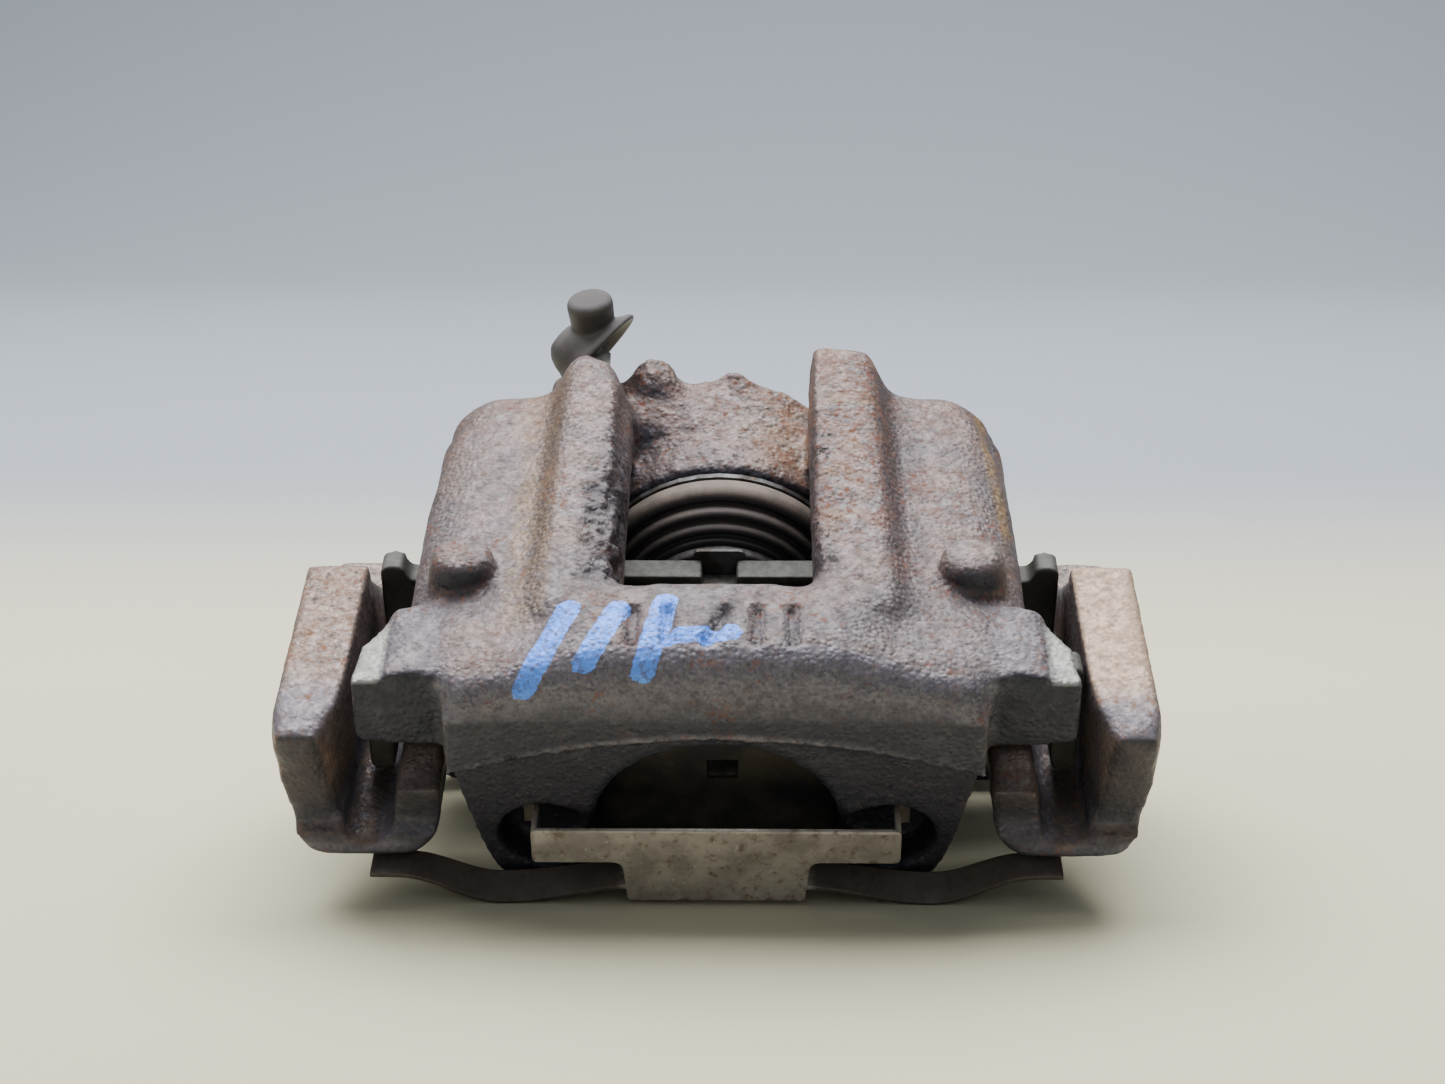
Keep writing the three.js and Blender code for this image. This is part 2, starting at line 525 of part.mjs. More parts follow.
// Leaf spring: a T-shaped plate hooked into the two holes of the fist, and two waved arms that press
// up against the carrier legs.
function retainingSpring() {
  const front = LEAF_Y + LEAF_SHEET;
  const plate = alongY(symmetric([
    [0, 2.6], [32, 2.6, 1], [32, -4.8, 1], [16, -4.8, 1.4], [15.6, -13.8, 1], [0, -13.8],
  ]), [LEAF_Y, front]);
  const hook = union(box([31, 32], [LEAF_Y, 10], [-4.4, 1.8]), box([31, 34], [8.6, 10], [-4.4, 1.8]));
  const upper = [];
  const lower = [];
  for (let i = 0; i <= 16; i += 1) {
    const x = 11 + i * 3.1;
    upper.push([x, armHeight(x) + LEAF_SHEET / 2]);
    lower.push([x, armHeight(x) - LEAF_SHEET / 2]);
  }
  const arm = alongY(outline([...upper, ...lower.reverse()]), [LEAF_Y, 5]);
  return union(plate, mirrored(union(hook, arm)));
}

// ---- guide pins ---------------------------------------------------------------------------------

const PIN_END_Y = 105;
const SOCKET_R = 3.5 / Math.cos(Math.PI / 6); // corners of a 7 mm hexagon
const LIP = 1.5; // how far a bush stands out at each end of its boss

function guidePin(side) {
  const shoulder = PLATE_Y[1] + FIT;
  const body = turned([
    [0, PLATE_Y[0] + 0.6], [PIN_THREAD_R - 0.8, PLATE_Y[0] + 0.6], [PIN_THREAD_R, PLATE_Y[0] + 1.4],
    [PIN_THREAD_R, shoulder], [PIN_R, shoulder], [PIN_R, PIN_END_Y - 0.6], [PIN_R - 0.6, PIN_END_Y],
    [0, PIN_END_Y],
  ], side * PIN_X, PIN_Z, MEDIUM);
  const socket = rod(SOCKET_R, [PIN_END_Y - 7, PIN_END_Y + 1], side * PIN_X, PIN_Z, 6);
  return body.subtract(socket);
}

function guideBush(side) {
  const inner = PIN_R + FIT;
  const [front, back] = BUSH_BOSS_Y;
  return turned([
    [inner, front - LIP], [FLANGE_R, front - LIP], [FLANGE_R, front - FIT], [BUSH_R, front - FIT],
    [BUSH_R, back + FIT], [FLANGE_R, back + FIT], [FLANGE_R, back + LIP], [inner, back + LIP],
    [inner, front - LIP],
  ], side * PIN_X, PIN_Z, MEDIUM);
}

function guidePinCap(side) {
  const foot = BUSH_BOSS_Y[1] + LIP + FIT;
  return turned([
    [6.6, foot], [FLANGE_R, foot], [FLANGE_R, foot + 1.6], [8, foot + 2.2], [7.8, foot + 7.2],
    [6.8, foot + 8.4], [0, foot + 8.8], [0, foot + 7.4], [6, foot + 7.2], [6.6, foot + 6.4], [6.6, foot],
  ], side * PIN_X, PIN_Z, MEDIUM);
}

// ---- assembly -----------------------------------------------------------------------------------

function finish(color, roughness, metalness) {
  return new THREE.MeshStandardMaterial({ color, roughness, metalness });
}

const castIron = finish(0x5e5552, 0.85, 0.5);
const carrierIron = finish(0x7a6a60, 0.9, 0.4);
const platePaint = finish(0x232427, 0.6, 0.3);
const liningMix = finish(0x3b3836, 0.95, 0.0);
const springSteel = finish(0x857c70, 0.5, 0.8);
const plainSteel = finish(0x9a9a98, 0.35, 0.9);
const rubber = finish(0x1c1c1d, 0.7, 0.0);
const plastic = finish(0x202022, 0.5, 0.0);

const assembly = new THREE.Group();
function addPiece(name, solid, material) {
  const mesh = new THREE.Mesh(toGeometry(solid), material);
  mesh.name = name;
  assembly.add(mesh);
}

addPiece('carrier', carrier(), carrierIron);
addPiece('caliper_housing', caliperHousing(), castIron);
addPiece('piston', piston(), plainSteel);
addPiece('piston_seal', pistonSeal(), rubber);
addPiece('dust_boot', dustBoot(), rubber);
addPiece('boot_retaining_ring', bootRing(), plainSteel);
addPiece('bleed_screw', bleedScrew(), plainSteel);
addPiece('bleed_screw_cap', bleedScrewCap(), rubber);
const outerPadShift = [OUTER_PAD_SHIFT_X, 0, 0];
const outerPlate = backingPlate(OUTER_PLATE_Y, OUTER_EAR_TOP_Z).translate(outerPadShift);
const outerLining = lining(OUTER_LINING_Y, OUTER_LINING_THICKNESS, false).translate(outerPadShift);
addPiece('outer_pad_shim', padShim().translate(outerPadShift), plainSteel);
addPiece('outer_pad_backing_plate', outerPlate, platePaint);
addPiece('outer_pad_lining', outerLining, liningMix);
addPiece('inner_pad_lining', lining(INNER_LINING_Y, INNER_LINING_THICKNESS, true), liningMix);
addPiece('inner_pad_backing_plate', backingPlate(INNER_PLATE_Y, INNER_EAR_TOP_Z), platePaint);
addPiece('inner_pad_spring_clip', padClip(), springSteel);
addPiece('retaining_spring', retainingSpring(), springSteel);
for (const [word, side] of [['left', -1], ['right', 1]]) {
  addPiece(`guide_pin_${word}`, guidePin(side), plainSteel);
  addPiece(`guide_bush_${word}`, guideBush(side), rubber);
  addPiece(`guide_pin_cap_${word}`, guidePinCap(side), plastic);
}

// Tip the assembly, then stand its lowest point on Z = 0 with the middle of its footprint at X = Y = 0.
assembly.rotation.x = REST_TILT;
assembly.updateMatrixWorld(true);
const bounds = new THREE.Box3().setFromObject(assembly, true);
const middle = bounds.getCenter(new THREE.Vector3());
assembly.position.set(-middle.x, -middle.y, -bounds.min.z);

const part = new THREE.Group();
part.add(assembly);
export default part;
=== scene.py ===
"""Floating single-piston brake caliper with its carrier and pads, lying on a pale floor.

Shapes are worked out in millimetres in the caliper's own axes: X across, Y along the piston from the
outboard side to the inboard side, Z away from the wheel centre. place() turns them into the row frame.
"""

import math
from types import SimpleNamespace

import bmesh
import bpy
import numpy as np
from mathutils import Matrix, Vector, noise


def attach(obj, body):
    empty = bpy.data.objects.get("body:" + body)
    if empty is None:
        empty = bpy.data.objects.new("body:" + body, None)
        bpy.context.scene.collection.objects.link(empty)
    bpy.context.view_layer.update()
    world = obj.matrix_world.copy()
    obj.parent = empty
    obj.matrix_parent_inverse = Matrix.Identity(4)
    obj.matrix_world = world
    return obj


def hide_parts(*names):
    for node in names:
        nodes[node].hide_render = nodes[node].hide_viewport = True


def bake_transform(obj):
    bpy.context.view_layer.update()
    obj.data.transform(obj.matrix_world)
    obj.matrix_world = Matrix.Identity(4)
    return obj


MM = 0.001
REST_TILT = math.radians(24)  # piston axis above the floor
PISTON_FACE_Y = 59.7
PISTON_R = 18.0
FIST_INNER_Y = 18.0
BLEEDER_FOOT = (-27.0, 103.0, 28.5)
BLEEDER_AXIS = Vector((0.05, 0.28, 0.96)).normalized()
PIN_X = 46.5
PIN_Z = 9.0
BUSH_BOSS_Y = (80.0, 102.0)
BRIDGE_TOP_Z = 37.0
SHOULDER_BOSS = (44.8, 33.0)  # middle of the round boss on each shoulder
CASTING_VOXEL = 0.8
ON_AXIS = 1e-4  # a radius below this lies on the axis of a turned piece

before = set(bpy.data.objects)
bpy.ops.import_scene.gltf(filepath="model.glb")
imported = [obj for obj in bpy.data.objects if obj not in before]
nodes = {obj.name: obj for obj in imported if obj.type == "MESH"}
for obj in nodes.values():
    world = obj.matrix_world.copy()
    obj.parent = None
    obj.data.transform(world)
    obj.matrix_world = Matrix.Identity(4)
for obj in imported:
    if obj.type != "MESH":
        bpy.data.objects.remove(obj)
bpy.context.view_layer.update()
TO_ROW = Matrix.Rotation(REST_TILT, 3, "X")
TO_LOCAL = TO_ROW.transposed()


def caliper_origin():
    """Row-frame place of the caliper's own origin: on the piston axis, PISTON_FACE_Y before the piston."""
    points = [TO_LOCAL @ v.co for v in nodes["piston"].data.vertices]
    heights = [p.z for p in points]
    face = min(p.y for p in points) - PISTON_FACE_Y * MM
    return TO_ROW @ Vector((0, face, (min(heights) + max(heights)) / 2))


ORIGIN = caliper_origin()


def place(x, y, z):
    """A point of the caliper, in millimetres, as a row-frame point in metres."""
    return TO_ROW @ (Vector((x, y, z)) * MM) + ORIGIN


# ---- arrays of points ---------------------------------------------------------------------------


def local_points(mesh):
    """A mesh's vertices as an array, in millimetres in the caliper's axes."""
    flat = np.empty(len(mesh.vertices) * 3)
    mesh.vertices.foreach_get("co", flat)
    return (flat.reshape(-1, 3) - np.array(ORIGIN)) @ np.array(TO_ROW) / MM


def set_local_points(mesh, points):
    """Moves a mesh's vertices to points in the caliper's axes; none goes below the floor."""
    rows = points * MM @ np.array(TO_ROW).T + np.array(ORIGIN)
    rows[:, 2] = np.maximum(rows[:, 2], 0)
    mesh.vertices.foreach_set("co", rows.ravel())
    mesh.update()


def local_normals(mesh):
    flat = np.empty(len(mesh.vertices) * 3)
    mesh.vertex_normals.foreach_get("vector", flat)
    return flat.reshape(-1, 3) @ np.array(TO_ROW)


def ramp(value, start, end):
    """0 before start, 1 after end and smooth between; start may be above end."""
    t = np.clip((value - start) / (end - start), 0, 1)
    return t * t * (3 - 2 * t)


def band(value, low, high, edge):
    """1 between low and high, falling to 0 over the width edge outside them."""
    return ramp(value, low - edge, low) * ramp(value, high + edge, high)


def lumps(points, size, seed, octaves=1):
    """Smooth noise about 0, roughly -1 to 1, with features of the given size in millimetres."""
    shift = Vector((seed * 7.31, seed * 3.17, seed * 5.71))
    if octaves == 1:
        values = [noise.noise(Vector(p) / size + shift) for p in points]
    else:
        values = [noise.fractal(Vector(p) / size + shift, 1.0, 2.0, octaves) for p in points]
    return np.array(values)


def smoothed(points, edges, weights, rounds):
    """Moves each point towards its neighbours' mean, weight by weight, for a number of rounds."""
    first, second = edges[:, 0], edges[:, 1]
    count = len(points)
    neighbours = np.bincount(first, minlength=count) + np.bincount(second, minlength=count)
    pull = weights[:, None]
    for _ in range(rounds):
        total = np.empty_like(points)
        for axis in range(3):
            column = points[:, axis]
            onto_first = np.bincount(first, column[second], count)
            onto_second = np.bincount(second, column[first], count)
            total[:, axis] = onto_first + onto_second
        points = points + pull * (total / neighbours[:, None] - points)
    return points


def evenly_smoothed(mesh, weight, rounds):
    """The mesh's points, all smoothed alike."""
    weights = np.full(len(mesh.vertices), weight)
    return smoothed(local_points(mesh), edge_array(mesh), weights, rounds)


def raised(points, normals, relief):
    """Points moved along their normals by relief, in millimetres."""
    return points + normals * relief[:, None]


def edge_array(mesh):
    flat = np.empty(len(mesh.edges) * 2, dtype=np.int64)
    mesh.edges.foreach_get("vertices", flat)
    return flat.reshape(-1, 2)


def set_mask(mesh, name, values):
    attribute = mesh.attributes.new(name, "FLOAT", "POINT")
    attribute.data.foreach_set("value", np.clip(values, 0, 1).astype(np.float32))


# ---- making pieces ------------------------------------------------------------------------------


def add_piece(name, mesh, body, slot, material, *replaced):
    piece = bpy.data.objects.new(name, mesh)
    bpy.context.scene.collection.objects.link(piece)
    mesh.materials.clear()
    mesh.materials.append(material)
    if body:
        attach(piece, body)
    if replaced:
        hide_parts(*replaced)
    return piece


def smooth_shading(mesh):
    mesh.polygons.foreach_set("use_smooth", np.ones(len(mesh.polygons), dtype=bool))


def remeshed(mesh, voxel):
    """The mesh's outer shape as one even mesh of small squares, voxel millimetres wide."""
    holder = bpy.data.objects.new("holder", mesh)
    bpy.context.scene.collection.objects.link(holder)
    remesh = holder.modifiers.new("Remesh", "REMESH")
    remesh.mode = "VOXEL"
    remesh.voxel_size = voxel * MM
    graph = bpy.context.evaluated_depsgraph_get()
    fine = bpy.data.meshes.new_from_object(holder.evaluated_get(graph))
    bpy.data.objects.remove(holder)
    smooth_shading(fine)
    return fine


def fine_copy(node, voxel):
    """The CAD node's shape as one even mesh of small squares."""
    return remeshed(nodes[node].data.copy(), voxel)


def rounded(corners, radius, steps=3):
    """Closed outline with each corner (a, b) or (a, b, own radius) rounded by an arc-like curve."""
    result = []
    count = len(corners)
    for i, corner in enumerate(corners):
        here = Vector(corner[:2])
        before = Vector(corners[i - 1][:2]) - here
        after = Vector(corners[(i + 1) % count][:2]) - here
        wanted = corner[2] if len(corner) > 2 else radius
        size = min(wanted, before.length * 0.45, after.length * 0.45)
        if size <= 0:
            result.append(here)
            continue
        start = here + before.normalized() * size
        end = here + after.normalized() * size
        for step in range(steps + 1):
            t = step / steps
            result.append(start * (1 - t) ** 2 + here * 2 * t * (1 - t) + end * t ** 2)
    return result


def bridge_rings(mesh_maker, rings, closed):
    """Joins rings of vertices one after the other with quads."""
    pairs = list(zip(rings, rings[1:] + rings[:1])) if closed else list(zip(rings, rings[1:]))
    for one, two in pairs:
        for i in range(len(one)):
            j = (i + 1) % len(one)
            corners = list(dict.fromkeys((one[i], one[j], two[j], two[i])))
            if len(corners) > 2:
                mesh_maker.faces.new(corners)


def finished_mesh(maker, name):
    bmesh.ops.recalc_face_normals(maker, faces=maker.faces)
    mesh = bpy.data.meshes.new(name)
    maker.to_mesh(mesh)
    maker.free()
    smooth_shading(mesh)
    return mesh


def hexagon_factor(angle):
    """How much further than its flats a hexagon reaches at an angle."""
    return 1 / math.cos((angle % (math.pi / 3)) - math.pi / 6)


def turned(name, profile, foot, axis, sides=96):
    """Body of revolution of an outline of (radius, height). A radius of 0 is on the axis, and a third value
    of "hex" makes that ring a hexagon, with the radius out to its flats."""
    maker = bmesh.new()
    turn = Vector((0, 0, 1)).rotation_difference(Vector(axis))
    rings = []
    for entry in profile:
        radius, height = entry[0], entry[1]
        hexagon = len(entry) > 2 and entry[2] == "hex"
        if radius < ON_AXIS:
            centre = Vector(foot) + turn @ Vector((0, 0, height))
            vertex = maker.verts.new(place(*centre))
            rings.append([vertex] * sides)
            continue
        ring = []
        for i in range(sides):
            angle = 2 * math.pi * i / sides
            reach = radius * (hexagon_factor(angle) if hexagon else 1)
            spot = turn @ Vector((reach * math.cos(angle), reach * math.sin(angle), height))
            ring.append(maker.verts.new(place(*(Vector(foot) + spot))))
        rings.append(ring)
    starts_on_axis = profile[0][0] < ON_AXIS
    bridge_rings(maker, rings, closed=not starts_on_axis)
    return finished_mesh(maker, name)


def turned_y(name, profile, x=0.0, z=0.0, sides=96):
    """Body of revolution about a line along the piston; profile heights are Y."""
    return turned(name, profile, (x, 0, z), (0, 1, 0), sides)


def rounded_profile(profile, radius, steps=3):
    """The profile of a turned piece with its corners rounded, as plain (radius, height) pairs."""
    return [tuple(p) for p in rounded(profile, radius, steps)]


def softened(profile, radius):
    """A profile with its corners rounded, except for those that lie on the axis."""
    return rounded_profile([(*p[:2], 0) if p[0] < ON_AXIS else p for p in profile], radius)


def slab(name, outline_points, y0, y1, edge):
    """A plate with the given (X, Z) outline between y0 and y1, its rims rounded by edge."""
    maker = bmesh.new()
    rings = []
    quarter_round = [(0, 0.0), (0.3, 0.05), (0.7, 0.3), (0.95, 0.7), (1, 1.0)]
    layers = [(y0 + edge * t, edge * (1 - s)) for s, t in quarter_round]
    layers += [(y1 - edge * t, edge * (1 - s)) for s, t in reversed(quarter_round)]
    count = len(outline_points)
    inward = []
    for i in range(count):
        along = outline_points[(i + 1) % count] - outline_points[i - 1]
        side = Vector((-along.y, along.x)).normalized()
        if signed_area(outline_points) < 0:
            side = -side
        inward.append(side)
    for y, inset in layers:
        inset_points = [p + n * inset for p, n in zip(outline_points, inward)]
        rings.append([maker.verts.new(place(p.x, y, p.y)) for p in inset_points])
    bridge_rings(maker, rings, closed=False)
    maker.faces.new(rings[0])
    maker.faces.new(rings[-1])
    return finished_mesh(maker, name)


def signed_area(points):
    return sum(a.x * b.y - b.x * a.y for a, b in zip(points, points[1:] + points[:1])) / 2


# ---- materials ----------------------------------------------------------------------------------


class Shader:
    """Short names for the nodes that the materials are made of."""

    def __init__(self, name, roughness=0.8, metallic=0.0, specular=0.5):
        self.material = bpy.data.materials.new(name)
        self.material.use_nodes = True
        self.tree = self.material.node_tree
        self.surface = self.tree.nodes["Principled BSDF"]
        self.surface.inputs["Roughness"].default_value = roughness
        self.surface.inputs["Metallic"].default_value = metallic
        self.surface.inputs["Specular IOR Level"].default_value = specular
        self.place = self.tree.nodes.new("ShaderNodeTexCoord").outputs["Object"]

    def link(self, value, socket):
        if isinstance(value, bpy.types.NodeSocket):
            self.tree.links.new(value, socket)
        else:
            socket.default_value = value

    def noise(self, size, detail=3.0, roughness=0.55, seed=0.0, stretch=None):
        """Noise with features of the given size in millimetres, about 0.5."""
        node = self.tree.nodes.new("ShaderNodeTexNoise")
        node.noise_dimensions = "4D"
        node.inputs["Scale"].default_value = 1 / (size * MM)
        node.inputs["Detail"].default_value = detail
        node.inputs["Roughness"].default_value = roughness
        node.inputs["W"].default_value = seed
        where = self.place
        if stretch:
            mapping = self.tree.nodes.new("ShaderNodeMapping")
            mapping.inputs["Scale"].default_value = stretch
            self.tree.links.new(where, mapping.inputs["Vector"])
            where = mapping.outputs["Vector"]
        self.tree.links.new(where, node.inputs["Vector"])
        return node.outputs["Fac"]

    def cells(self, size, feature="F1"):
        """Distance to the nearest of scattered points that lie about size millimetres apart."""
        node = self.tree.nodes.new("ShaderNodeTexVoronoi")
        node.feature = feature
        node.inputs["Scale"].default_value = 1 / (size * MM)
        self.tree.links.new(self.place, node.inputs["Vector"])
        return node.outputs["Distance"]

    def step(self, value, start, end, low=0.0, high=1.0):
        """Maps start..end of a value to low..high, held outside."""
        node = self.tree.nodes.new("ShaderNodeMapRange")
        node.interpolation_type = "SMOOTHSTEP"
        for key, number in (("From Min", start), ("From Max", end), ("To Min", low), ("To Max", high)):
            node.inputs[key].default_value = number
        self.link(value, node.inputs["Value"])
        return node.outputs["Result"]

    def math(self, operation, one, two=0.0):
        node = self.tree.nodes.new("ShaderNodeMath")
        node.operation = operation
        self.link(one, node.inputs[0])
        self.link(two, node.inputs[1])
        return node.outputs[0]

    def mask(self, name):
        node = self.tree.nodes.new("ShaderNodeAttribute")
        node.attribute_name = name
        return node.outputs["Fac"]

    def mix(self, amount, one, two):
        """Blend of two colours, given as sockets or as (r, g, b)."""
        node = self.tree.nodes.new("ShaderNodeMix")
        node.data_type = "RGBA"
        self.link(amount, node.inputs[0])
        for value, socket in ((one, node.inputs[6]), (two, node.inputs[7])):
            self.link(value if isinstance(value, bpy.types.NodeSocket) else (*value, 1), socket)
        return node.outputs[2]

    def colour(self, socket):
        self.tree.links.new(socket, self.surface.inputs["Base Color"])

    def bump(self, height, distance, strength=1.0):
        """Adds relief; distance is in millimetres for a height of 1."""
        node = self.tree.nodes.new("ShaderNodeBump")
        node.inputs["Distance"].default_value = distance * MM
        node.inputs["Strength"].default_value = strength
        self.tree.links.new(height, node.inputs["Height"])
        previous = self.surface.inputs["Normal"]
        if previous.is_linked:
            self.tree.links.new(previous.links[0].from_socket, node.inputs["Normal"])
        self.tree.links.new(node.outputs["Normal"], previous)

    def drive(self, socket_name, value):
        self.tree.links.new(value, self.surface.inputs[socket_name])


def cast_iron(name, clean, warm, rust, dark, fleck_and_glint):
    """Sand-cast iron gone dull and rusty: a dark skin with a slight sheen, mottled, with rust specks, black
    pits and fine grain; pale flecks where the pale mask paints highlights, and painted shade, partly soot, in
    hollows and fronts."""
    s = Shader(name, metallic=0.45, specular=0.5)
    base = s.mix(s.step(s.noise(14, 4, 0.65, 1.0), 0.42, 0.6), clean, warm)
    # bluish tone, lighter where it stands as a painted highlight on the brow and the carrier's lips
    base = s.mix(s.mask("blue_tone_and_highlight"), base, (0.150, 0.146, 0.188))
    mottle = s.step(s.noise(3.0, 5, 0.75, 2.0), 0.45, 0.62)
    base = s.mix(s.math("MULTIPLY", mottle, 0.34), base, dark)
    salt = s.step(s.noise(0.75, 4, 0.8, 2.5), 0.46, 0.62)
    # pale flecks only where the pale mask is set, as painted highlights and glints on upward faces and edges
    base = s.mix(s.math("MULTIPLY", salt, s.math("MULTIPLY", s.mask("pale"), 0.6)), base, fleck_and_glint)
    pepper = s.step(s.noise(0.95, 4, 0.8, 2.7), 0.5, 0.62)
    base = s.mix(s.math("MULTIPLY", pepper, 0.42), base, dark)
    # painted shade in hollows: between the ribs, beside the bosses, in the bars and in the carrier's pocket
    base = s.mix(s.math("MULTIPLY", s.mask("hollow_shade"), 0.62), base, dark)
    specks = s.step(s.noise(1.5, 4, 0.75, 3.0), 0.52, 0.6)
    clusters = s.math("ADD", s.step(s.noise(9, 4, 0.7, 4.0), 0.47, 0.64, 0.12, 0.85), s.mask("rust"))
    rusty = s.math("MULTIPLY", specks, s.math("MINIMUM", clusters, 1.0))
    base = s.mix(rusty, base, rust)
    patch = s.math("MULTIPLY", s.mask("rust"), s.step(s.noise(3.2, 5, 0.75, 5.0), 0.44, 0.58))
    base = s.mix(s.math("MULTIPLY", patch, 0.85), base, rust)
    ochre = s.math("MULTIPLY", s.mask("ochre"), s.step(s.noise(2.4, 4, 0.7, 6.0), 0.38, 0.58, 0.25, 1.0))
    base = s.mix(ochre, base, (0.30, 0.19, 0.085))
    pits = s.math("MULTIPLY", s.step(s.noise(2.0, 4, 0.75, 7.0), 0.55, 0.62), s.mask("pitted"))
    base = s.mix(pits, base, (0.012, 0.010, 0.010))
    # painted shade on faces turned to the front and down and inside openings, partly soot
    soot_and_shade = s.math("MULTIPLY", s.mask("soot_and_shade"), s.step(s.noise(4, 3, 0.6, 8.0), 0.2, 0.5, 0.75, 1.0))
    base = s.mix(soot_and_shade, base, dark)
    s.drive("Metallic", s.step(s.math("ADD", rusty, s.math("ADD", patch, pits)), 0, 1, 0.45, 0.0))
    sheen = s.step(s.noise(2.2, 4, 0.7, 8.5), 0.38, 0.62, 0.42, 0.66)
    s.drive("Roughness", s.math("ADD", sheen, s.math("MULTIPLY", s.math("MAXIMUM", rusty, pits), 0.3)))
    return s, base


def grain(s, height=0.12):
    """Pebbled surface left by the sand mould."""
    pebbles = s.step(s.cells(1.1), 0.0, 0.75, 1.0, 0.0)
    s.bump(pebbles, 1.2 * height)
    s.bump(s.noise(0.55, 3, 0.65, 9.0), height)


def housing_iron():
    s, base = cast_iron("housing_iron", (0.155, 0.131, 0.135), (0.175, 0.132, 0.121), (0.19, 0.072, 0.042),
                        (0.027, 0.028, 0.041), (0.46, 0.41, 0.40))
    bare = s.mask("ground")
    base = s.mix(bare, base, (0.30, 0.30, 0.29))
    stroke = s.math("ADD", s.mask("marker"), s.math("SUBTRACT", s.noise(1.2, 3, 0.7, 11.0), 0.5))
    gaps = s.step(s.noise(0.9, 2, 0.6, 12.0), 0.36, 0.5, 0.35, 1.0)
    chalk = s.math("MULTIPLY", s.step(stroke, 0.42, 0.55), gaps)
    base = s.mix(chalk, base, (0.10, 0.28, 0.88))
    s.colour(base)
    grain(s)
    return s.material


def carrier_iron():
    s, base = cast_iron("carrier_iron", (0.180, 0.146, 0.140), (0.215, 0.158, 0.136), (0.22, 0.09, 0.044),
                        (0.027, 0.028, 0.040), (0.6, 0.5, 0.43))
    base = s.mix(s.mask("tan"), base, (0.46, 0.33, 0.235))
    s.colour(base)
    grain(s, 0.08)
    return s.material


def painted_plate():
    s = Shader("plate_paint", roughness=0.6, specular=0.4)
    base = s.mix(s.step(s.noise(9, 4, 0.6, 1.0), 0.4, 0.65), (0.03, 0.031, 0.030), (0.055, 0.053, 0.046))
    base = s.mix(s.step(s.noise(1.6, 4, 0.7, 2.0), 0.55, 0.7, 0.0, 0.7), base, (0.14, 0.09, 0.06))
    worn = s.math("MULTIPLY", s.mask("worn"), s.step(s.noise(2.2, 5, 0.8, 4.0), 0.4, 0.6, 0.25, 1.0))
    base = s.mix(worn, base, (0.15, 0.15, 0.132))
    s.colour(base)
    s.bump(s.noise(0.8, 4, 0.6, 3.0), 0.06)
    return s.material


def friction_mix():
    s = Shader("friction_mix", roughness=0.92, specular=0.25)
    base = s.mix(s.step(s.noise(1.2, 4, 0.7, 1.0), 0.4, 0.6), (0.05, 0.047, 0.044), (0.10, 0.09, 0.08))
    base = s.mix(s.step(s.cells(1.4), 0.12, 0.2, 1.0, 0.0), base, (0.32, 0.2, 0.1))
    base = s.mix(s.step(s.noise(0.7, 2, 0.5, 2.0), 0.63, 0.7), base, (0.35, 0.34, 0.32))
    s.colour(base)
    s.bump(s.noise(0.7, 4, 0.7, 3.0), 0.15)
    return s.material


def rubber(name, tone, dust):
    s = Shader(name, roughness=0.62, specular=0.4)
    dusty = s.math("MULTIPLY", s.step(s.noise(3, 4, 0.65, 1.0), 0.3, 0.65, 0.55, 1.0), s.mask("dusty"))
    base = s.mix(s.noise(1.4, 3, 0.6, 2.0), tone, tuple(c * 1.5 for c in tone))
    s.colour(s.mix(dusty, base, dust))
    s.drive("Roughness", s.step(dusty, 0, 1, 0.5, 0.85))
    s.bump(s.noise(0.9, 3, 0.6, 3.0), 0.03)
    return s.material


def spring_sheet():
    s = Shader("spring_steel", roughness=0.55, metallic=0.35)
    base = s.mix(s.step(s.noise(8, 4, 0.65, 1.0), 0.4, 0.62), (0.46, 0.425, 0.385), (0.30, 0.275, 0.25))
    base = s.mix(s.step(s.noise(1.8, 4, 0.7, 2.0), 0.5, 0.68, 0.0, 0.8), base, (0.16, 0.11, 0.075))
    base = s.mix(s.step(s.noise(1.0, 2, 0.5, 3.0), 0.66, 0.72), base, (0.6, 0.56, 0.5))
    # painted shade on the spring's arms, hooks and bar
    base = s.mix(s.mask("soot_and_shade"), base, (0.055, 0.042, 0.036))
    s.colour(base)
    s.drive("Roughness", s.step(s.noise(2.5, 3, 0.6, 4.0), 0.3, 0.7, 0.4, 0.75))
    s.bump(s.noise(0.8, 4, 0.6, 5.0), 0.04)
    return s.material


def plated_steel():
    s = Shader("plated_steel", roughness=0.4, metallic=0.85)
    base = s.mix(s.step(s.noise(6, 4, 0.6, 1.0), 0.4, 0.65), (0.42, 0.41, 0.39), (0.3, 0.27, 0.23))
    base = s.mix(s.step(s.noise(1.6, 4, 0.7, 2.0), 0.58, 0.7, 0.0, 0.8), base, (0.16, 0.09, 0.05))
    s.colour(base)
    s.drive("Roughness", s.step(s.noise(2, 3, 0.6, 3.0), 0.3, 0.7, 0.3, 0.6))
    s.bump(s.noise(0.9, 3, 0.6, 4.0), 0.02)
    return s.material


def grimy_steel():
    """Steel under brake dust, as on the piston's rim and the clip."""
    s = Shader("grimy_steel", roughness=0.55, metallic=0.5)
    base = s.mix(s.step(s.noise(4, 4, 0.65, 1.0), 0.4, 0.62), (0.10, 0.10, 0.105), (0.05, 0.043, 0.038))
    base = s.mix(s.step(s.noise(1.5, 4, 0.7, 2.0), 0.58, 0.7), base, (0.12, 0.06, 0.03))
    s.colour(base)
    s.drive("Roughness", s.step(s.noise(2, 3, 0.6, 3.0), 0.3, 0.7, 0.4, 0.7))
    s.bump(s.noise(0.9, 3, 0.6, 4.0), 0.03)
    return s.material


